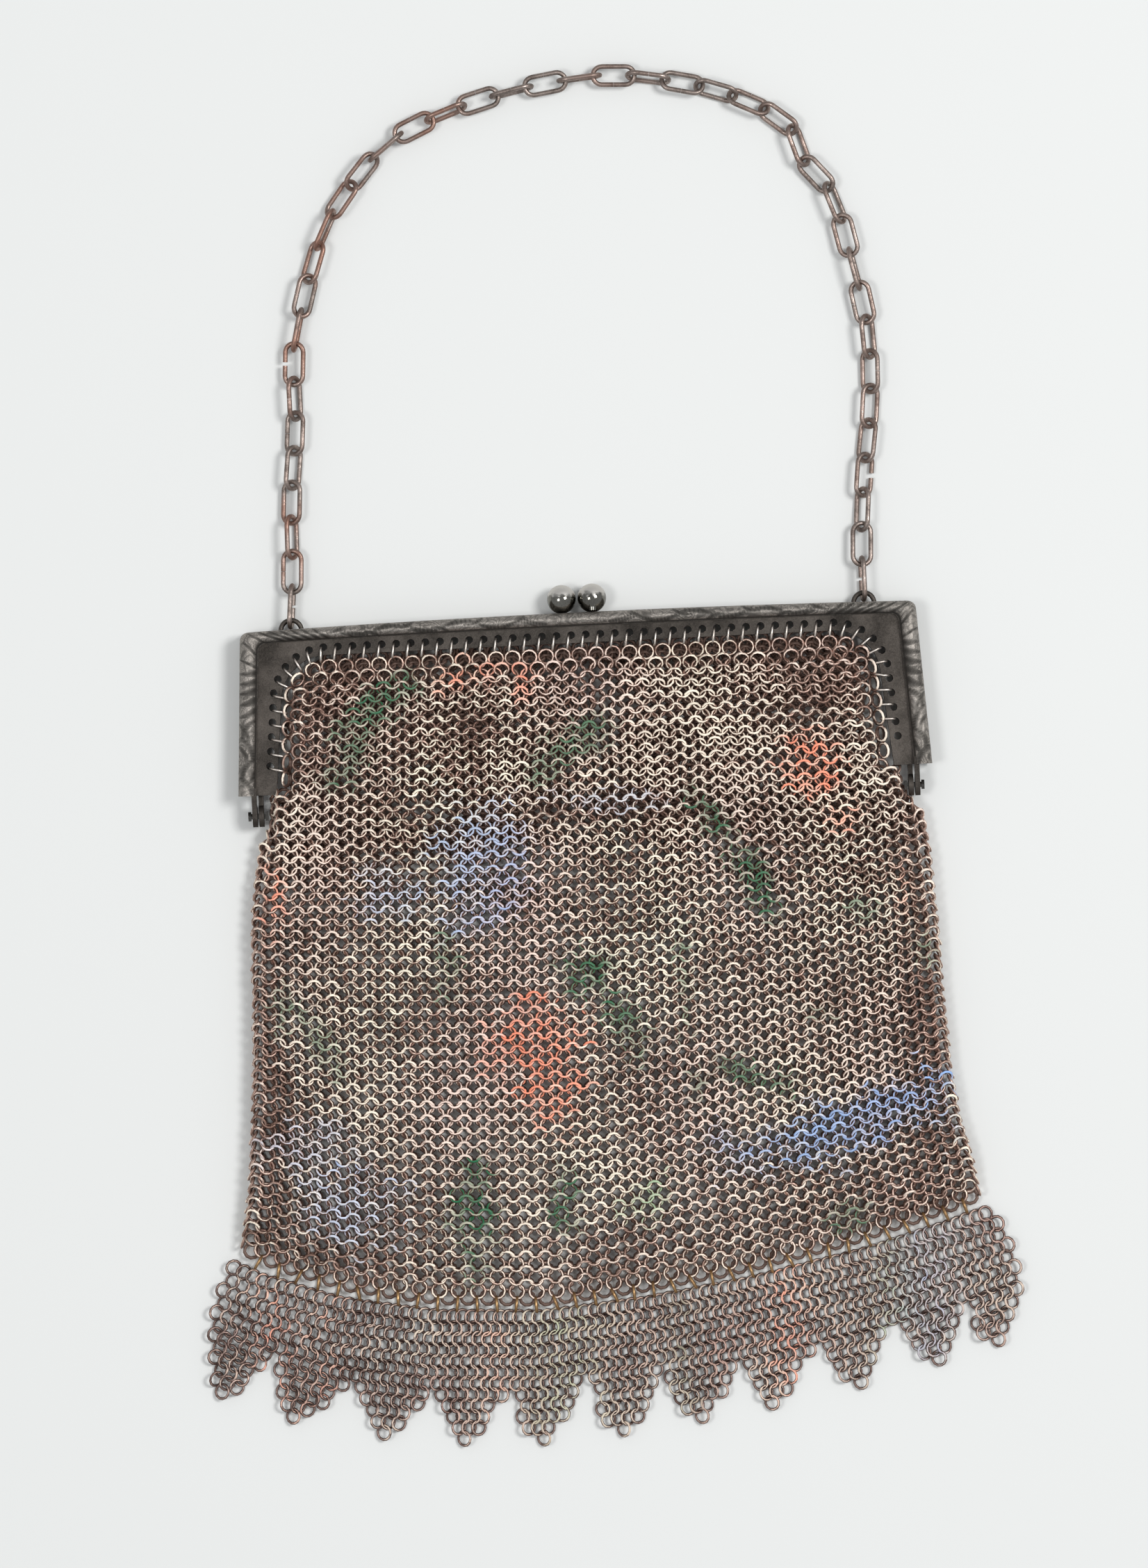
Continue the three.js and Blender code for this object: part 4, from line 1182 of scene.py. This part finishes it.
bright_steel, _, _, _ = old_metal(
    "bright_steel", srgb(228, 222, 214), srgb(160, 145, 135), 260.0, 2600.0, 0.5, 0.3, 0.1
)
edge_total = flange_line(EDGE_INSIDE, 0.0)[2]
edge_pitch = girth(SLIT) / COLUMNS
edge_half = int(edge_total / 2 / edge_pitch - EDGE_SHORT)
edge_count = 2 * edge_half + 1
edge_shares = 0.5 + np.arange(-edge_half, edge_half + 1) * edge_pitch / edge_total
for name, way in (("hanging_wire_front", 1), ("hanging_wire_back", -1)):
    coil = wire_along(hanger_path(way), HANGER, HANGER_SIDES)
    wire = finish_mesh(coil, name, smooth=math.radians(80))
    wire.data.materials.append(bright_steel)
    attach(wire, "root")
    outward = np.array([flange_line(EDGE_INSIDE, share)[1] for share in edge_shares])
    on_leg = ease(np.abs(outward[:, 0]), 0.5, 0.95)
    inset = EDGE_INSIDE + (LEG_INSIDE - EDGE_INSIDE) * on_leg
    flat = np.array([flange_line(a, share)[0] for a, share in zip(inset, edge_shares)])
    height = MEETING_PLANE + way * FLANGE_MIDDLE
    middles = np.column_stack([flat, np.full(edge_count, height)])
    above = np.tile([0.0, 0.0, float(way)], (edge_count, 1))
    edge_up = np.column_stack([outward, np.zeros(edge_count)])
    edge_across = np.cross(edge_up, above)
    tilt = EDGE_LEAN + (LEG_LEAN - EDGE_LEAN) * on_leg
    loose = looseness(edge_count, 0.1, 0.1)
    edge_axes = leaning(edge_across, edge_up, above, tilt, loose)
    made = repeat_rings(
        name.replace("hanging_wire", "edge_rings"), fine, middles, edge_axes,
        bag_enamel_and_light(above, middles),
    )
    made.data.materials.append(painted)
    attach(made, "root")

# Fringe
# One layer of the same rings with the weave turned upright, so that it swings, cut into eleven
# points that each end in a single ring. It is hardly painted and has turned brown.
FRINGE_DROP = 31.0
FRINGE_FLARE = 7.5
FLARE_END = 0.6
FRINGE_COLUMNS = 162
FRINGE_PITCH = 4.49
FRINGE_LEAN = math.radians(26)
FRINGE_FIRST = 3.9
FRINGE_EDGE = 1.5
FRINGE_WIDTH = 168.0
FRINGE_INSET = 1.3
FRINGE_WIRE = 0.6
FRINGE_HEIGHT = 1.3
POINT_BLUNT = 0.0116
NOTCH_DOWN = 0.59
# The points: where each tip and the notch after it lie along the fringe.
POINTS = np.array([
    # tip, notch
    (0.008, 0.084),
    (0.104, 0.178),
    (0.212, 0.277),
    (0.308, 0.370),
    (0.400, 0.460),
    (0.504, 0.557),
    (0.595, 0.651),
    (0.691, 0.744),
    (0.792, 0.835),
    (0.892, 0.926),
    (0.961, 1.000),
])
FADED = np.array(srgb(186, 152, 139)[:3])
# What is left of the flowers and leaves: tint, place of the middle, half width and strength.
FRINGE_TINTS = [
    # tint, x, half width, strength
    ("coral", -69.0, 5.0, 0.6),
    ("coral", -58.0, 4.0, 0.4),
    ("coral", 36.0, 5.0, 0.75),
    ("blue", 64.0, 7.0, 0.5),
    ("pale", 57.0, 5.0, 0.5),
    ("green", 14.0, 4.0, 0.5),
    ("pale", -10.0, 8.0, 0.5),
    ("coral", -24.0, 4.0, 0.35),
]


def fringe_place(along, drop):
    """A place on the fringe, from how far along it and how many millimetres below the hem."""
    left, right = OUTLINE[-1, 1:]
    widen = FRINGE_FLARE * (1 - (1 - np.minimum(drop / FRINGE_DROP / FLARE_END, 1)) ** 2)
    x = -left - widen + (left + right + 2 * widen) * along
    y = BAG_TOP - BAG_DROP + hem_lift(along) - drop
    return np.stack([x, y, np.full(np.shape(x), FRINGE_HEIGHT)], axis=-1)


def along_fringe(along, drop):
    """The direction of the fringe's rows, towards +X."""
    return unit(fringe_place(along + 0.002, drop) - fringe_place(along - 0.002, drop))


def fringe_limit(along):
    """How far down the fringe reaches, in millimetres."""
    knots = []
    for tip, notch in POINTS:
        knots += [(tip - POINT_BLUNT, 1.0), (tip + POINT_BLUNT, 1.0), (notch, NOTCH_DOWN)]
    knots = np.array(knots)
    return FRINGE_DROP * np.interp(along, knots[:, 0], knots[:, 1])


def fringe_rings():
    """Where each ring of the fringe lies: how far along, how far down, and which way it leans. A
    point's last ring is the one of its two middle columns that ends nearest the tip."""
    columns = np.arange(FRINGE_COLUMNS)
    places = (columns + 0.5) / FRINGE_COLUMNS
    places = places + (0.5 - places) * 2 * FRINGE_INSET / FRINGE_WIDTH
    firsts = FRINGE_FIRST + FRINGE_PITCH / 2 * (columns % 2)
    lowest = FRINGE_DROP - RING - FRINGE_WIRE / 2
    ends = firsts + FRINGE_PITCH * np.round((lowest - firsts) / FRINGE_PITCH)
    tips = {}
    for tip, _ in POINTS:
        middle = np.argsort(np.abs(places - tip))[:2]
        last = middle[np.argmin(np.abs(ends[middle] - lowest))]
        tips[last] = ends[last]
    found = []
    for column, along, drop in zip(columns, places, firsts):
        limit = fringe_limit(along) - FRINGE_EDGE
        for last, end in tips.items():
            if last != column and abs(last - column) < 3:
                limit = min(limit, end - FRINGE_PITCH / 4)
        limit = tips.get(column, limit)
        while drop < limit + 0.01:
            found.append((along, drop, 1.0 - 2 * (column % 2)))
            drop += FRINGE_PITCH
    return np.array(found)


def fringe_enamel_and_light(places, facing):
    """What is left of the enamel: thin patches on the wire's upper side, fewest on the left. Kept
    to the upper side, its light colour is also a painted highlight, and the under side is painted
    shade.
    """
    x, y = places[..., 0], places[..., 1]
    colour = FADED + (CREAM - FADED) * 0.5 * soft_noise(x, y, 30, 21)[..., None]
    cover = 0.3 + 0.3 * ease(x, -60, -25) + 0.3 * soft_noise(x, y, 12, 23)
    for tint, px, width, strength in FRINGE_TINTS:
        near = strength * np.exp(-(((x - px) / width) ** 2)) * soft_noise(x, y, 5, 29)
        colour = colour + (TINTS[tint] - colour) * near[..., None]
        cover = cover + (1 - cover) * near
    # Painted highlight and shade: the cover is kept to the wire's upper side, and its under side
    # gets a negative cover that the material darkens.
    enamel_shown_and_lit = ease(facing[..., 2], 0.1, 0.8)
    enamel_shown_and_lit = enamel_shown_and_lit * ease((places[..., 2] - FRINGE_HEIGHT) / RING, -0.25, 0.3)
    mask = enamel_shown_and_lit * cover - 0.8 * ease(-facing[..., 2], 0, 0.6)
    return np.concatenate([colour, mask[..., None]], axis=-1).astype(np.float32)


along, drop, lean = fringe_rings().T
centres = fringe_place(along, drop)
sideways = along_fringe(along, drop)
upwards = squared(fringe_place(along, drop - 0.3) - fringe_place(along, drop + 0.3), sideways)
above = np.cross(sideways, upwards)
loose = looseness(len(lean), 0.08, 0.06)
fringe_axes = leaning(upwards, -sideways, above, lean * FRINGE_LEAN, loose)
centres = centres + random.normal(0, JITTER, centres.shape)
hanging_ring = ring_template(RING, FRINGE_WIRE, RING_STEPS, RING_SIDES)
fringe = repeat_rings("fringe_rings", hanging_ring, centres, fringe_axes, fringe_enamel_and_light)
browned = painted_metal("browned_rings", srgb(158, 136, 128), srgb(96, 76, 70))
fringe.data.materials.append(browned)
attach(fringe, "root")
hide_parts("mesh_fringe")

# Joining rings
# Small brass rings that stand on edge, one below each ring of the front layer's hem, and join the
# fringe to it.
JOIN_RADIUS = 1.5
JOIN_WIRE = 0.62
JOIN_STEPS = 14
JOIN_SIDES = 6
JOIN_DROP = 1.2
JOIN_HEIGHT = 2.15
JOIN_FACING = 0.6

brass, _, _, _ = old_metal(
    "old_brass", srgb(206, 170, 122), srgb(128, 98, 70), 300.0, 2400.0, 0.7, 0.3, 0.2
)
facing_up = out[:, 2]
hem = (facing_up > JOIN_FACING) & (down == down[facing_up > 0].max())
hem_place = around(s[hem], down[hem])
along = (hem_place[:, 0] + OUTLINE[-1, 1]) / OUTLINE[-1, 1:].sum()
centres = fringe_place(along, JOIN_DROP)
centres[:, 2] = JOIN_HEIGHT
sideways = along_fringe(along, 0.0)
upwards = np.cross([0.0, 0.0, 1.0], sideways)
above = np.tile([0.0, 0.0, 1.0], (len(along), 1))
swing = random.normal(0.1, 0.14, len(along))[:, None]
facing_side = unit(sideways + swing * upwards)
join_axes = np.stack([above, np.cross(facing_side, above), facing_side], axis=1)
join_ring = ring_template(JOIN_RADIUS, JOIN_WIRE, JOIN_STEPS, JOIN_SIDES)
joins = repeat_rings(
    "joining_rings", join_ring, centres, join_axes,
    lambda places, facing: np.zeros((*places.shape[:2], 4), np.float32),
)
joins.data.materials.append(brass)
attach(joins, "root")

# Floor and light
# A plain pale table top under two large soft lamps and a faint sky.
bpy.ops.mesh.primitive_plane_add(size=4.0, location=(0, 0, 0))
floor = bpy.context.object
floor.name = "floor"
floor_material, _, floor_shader = new_material("pale_table")
floor_shader.inputs["Base Color"].default_value = srgb(221, 222, 220)
floor_shader.inputs["Roughness"].default_value = 0.8
floor_shader.inputs["Specular IOR Level"].default_value = 0.2
floor.data.materials.append(floor_material)

for name, place, size, power in (
    ("key_lamp", (0.9, 0.3, 1.5), 0.5, 17.6),
    ("fill_lamp", (-0.68, -0.08, 1.5), 0.4, 6.6),
):
    lamp_data = bpy.data.lights.new(name, "AREA")
    lamp_data.size = size
    lamp_data.energy = power
    lamp = placed(name, lamp_data)
    lamp.location = place
    lamp.rotation_euler = (-Vector(place)).to_track_quat("-Z", "Y").to_euler()

sky = bpy.data.worlds.new("sky")
sky.use_nodes = True
sky.node_tree.nodes["Background"].inputs["Color"].default_value = (0.95, 0.97, 1.0, 1.0)
sky.node_tree.nodes["Background"].inputs["Strength"].default_value = 0.52
bpy.context.scene.world = sky
bpy.context.scene.view_settings.view_transform = "Standard"
